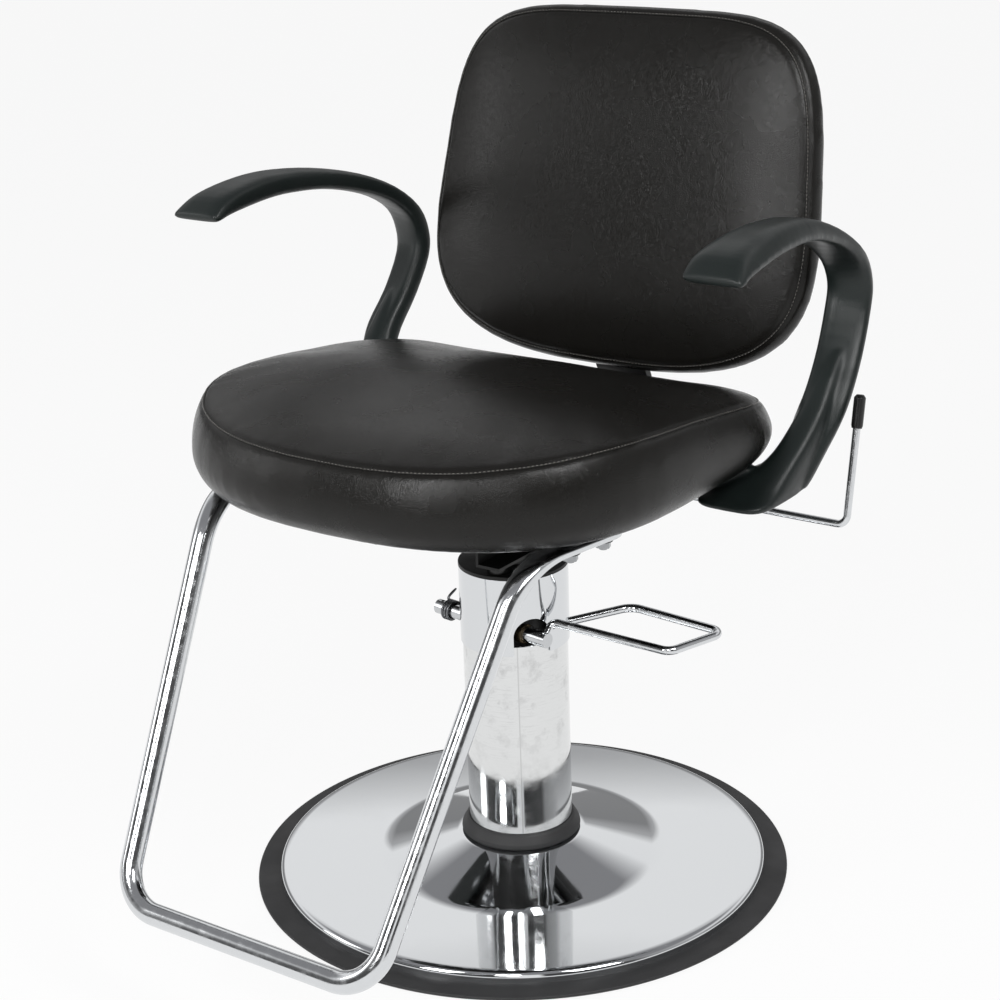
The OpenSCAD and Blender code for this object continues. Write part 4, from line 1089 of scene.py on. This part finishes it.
# %% Directions in the room
world = bpy.data.worlds.new("studio")
bpy.context.scene.world = world
world.use_nodes = True
sky = world.node_tree
direction = add(sky, "TexCoord").outputs["Generated"]
height = add(sky, "SeparateXYZ", {"Vector": direction}).outputs["Z"]
ahead = add(sky, "VectorMath", {0: direction, 1: AHEAD}, operation="DOT_PRODUCT").outputs["Value"]
beside = add(sky, "VectorMath", {0: direction, 1: BESIDE}, operation="DOT_PRODUCT").outputs["Value"]
bearing = add(sky, "Math", {0: beside, 1: ahead}, operation="ARCTAN2").outputs[0]
turn = add(sky, "MapRange", {"Value": bearing, "From Min": -math.pi, "From Max": math.pi}).outputs[0]


def levels(factor, stops):
    """A grey ramp through pairs of place and level."""
    made = add(sky, "ValToRGB", {"Fac": factor})
    steps = made.color_ramp
    while len(steps.elements) < len(stops):
        steps.elements.new(1.0)
    for one, (at, level) in zip(steps.elements, stops):
        one.position, one.color = at, (level, level, min(1, level * 1.01), 1)
    return made.outputs["Color"]


def above(low, high):
    """0 below one height and 1 above another."""
    return levels(height, [(0.0, 0.0), (low, 0.0), (high, 1.0)])


print("world:", world.name)

# %% [markdown]
# The room has three walls, one above the other, with the same front and a brighter back each time, and a
# grey ceiling. Bearings are in degrees from straight ahead. The camera itself sees plain white.

# %% The walls and the ceiling
FRONT_WALL = [(-80, 0.55), (-76, 0.12), (-58, 0.08), (-9, 0.06), (-7, 1.0), (6, 1.0), (8, 0.06),
              (48, 0.10), (56, 0.35), (80, 0.5)]


def wall(far):
    """A wall round the room whose far side has a given level."""
    stops = [(-180, far), (-95, far * 0.95)] + FRONT_WALL + [(95, far * 0.9), (180, far)]
    return levels(turn, [((degrees + 180) / 360, level) for degrees, level in stops])


walls = mixed(sky, above(0.28, 0.36), wall(0.28), wall(0.48))
walls = mixed(sky, above(0.37, 0.43), walls, wall(1.0))
room = mixed(sky, above(0.56, 0.70), walls, (0.28, 0.28, 0.29, 1))
seen = add(sky, "LightPath").outputs["Is Camera Ray"]
shown_sky = mixed(sky, seen, room, (0.95, 0.95, 0.95, 1))
background = sky.nodes["Background"]
sky.links.new(shown_sky, background.inputs["Color"])
background.inputs["Strength"].default_value = 1.0
print("world nodes:", len(sky.nodes))

# %% [markdown]
# Four softboxes give the vinyl and the arms their broad highlights: one in front, one behind the camera,
# and one on each side. Each is placed by its bearing from the chair's front, its height as an angle, and
# its distance, because those are what decide where its highlight falls.

# %% Softboxes
LAMP_AIM = Vector((0, 0, 0.65))


def softbox(name, turn, rise, distance, size, level):
    """A lamp whose face has a given brightness, aimed at the chair."""
    lamp = bpy.data.lights.new(name, "AREA")
    lamp.shape = "RECTANGLE"
    lamp.size, lamp.size_y = size
    lamp.energy = level * math.pi * size[0] * size[1]
    made = bpy.data.objects.new(name, lamp)
    bpy.context.scene.collection.objects.link(made)
    turn, rise = math.radians(turn), math.radians(rise)
    ray = Vector((math.sin(turn) * math.cos(rise), -math.cos(turn) * math.cos(rise), math.sin(rise)))
    made.location = LAMP_AIM + ray * distance
    made.rotation_euler = (-ray).to_track_quat("-Z", "Y").to_euler()


softbox("softbox_front", -4, 24, 3.0, (0.7, 1.7), 11.0)
softbox("softbox_camera", 27, 27, 3.4, (0.6, 1.3), 7.0)
softbox("softbox_right", 70, 38, 2.6, (0.9, 1.1), 11.0)
softbox("softbox_left", -54, 12, 3.0, (0.8, 1.3), 3.2)

# %% [markdown]
# The camera stands in front of the chair and to one side, 1.2 m up, and looks slightly down. A long lens
# keeps the footrest from looming. Its shift slides the picture to frame the chair without turning the
# camera. Three directions give its pose: to its right, up in its picture, and back behind it. Standard
# view keeps colours as they are written.

# %% Camera and view
camera_data = bpy.data.cameras.new("camera")
camera_data.sensor_width = 36
camera_data.lens = 77.74
camera_data.shift_x = -0.01172
camera_data.shift_y = 0.02050
camera_data.clip_end = 200
camera = bpy.data.objects.new("camera", camera_data)
bpy.context.scene.collection.objects.link(camera)
right = Vector((0.82011695, 0.57139595, -0.03024664))
up = Vector((-0.16899363, 0.29237914, 0.94125214))
back = Vector((0.54667115, -0.76682534, 0.33634737))
turned = Matrix((right, up, back)).transposed().to_4x4()
camera.matrix_world = Matrix.Translation((1.24073, -1.74040, 1.16314)) @ turned
bpy.context.scene.camera = camera
bpy.context.scene.view_settings.view_transform = "Standard"
print("camera:", [round(c, 3) for c in camera.location])

# %% [markdown]
# Looks don't change the size of the chair, so the box round all that shows is printed beside the box of the
# construction model.

# %% Sizes
shown_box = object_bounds()
for axis, a, b, c, d in zip("XYZ", *cad_box, *shown_box):
    print(f"{axis}: construction {a:.4f} to {b:.4f}, shown {c:.4f} to {d:.4f}")
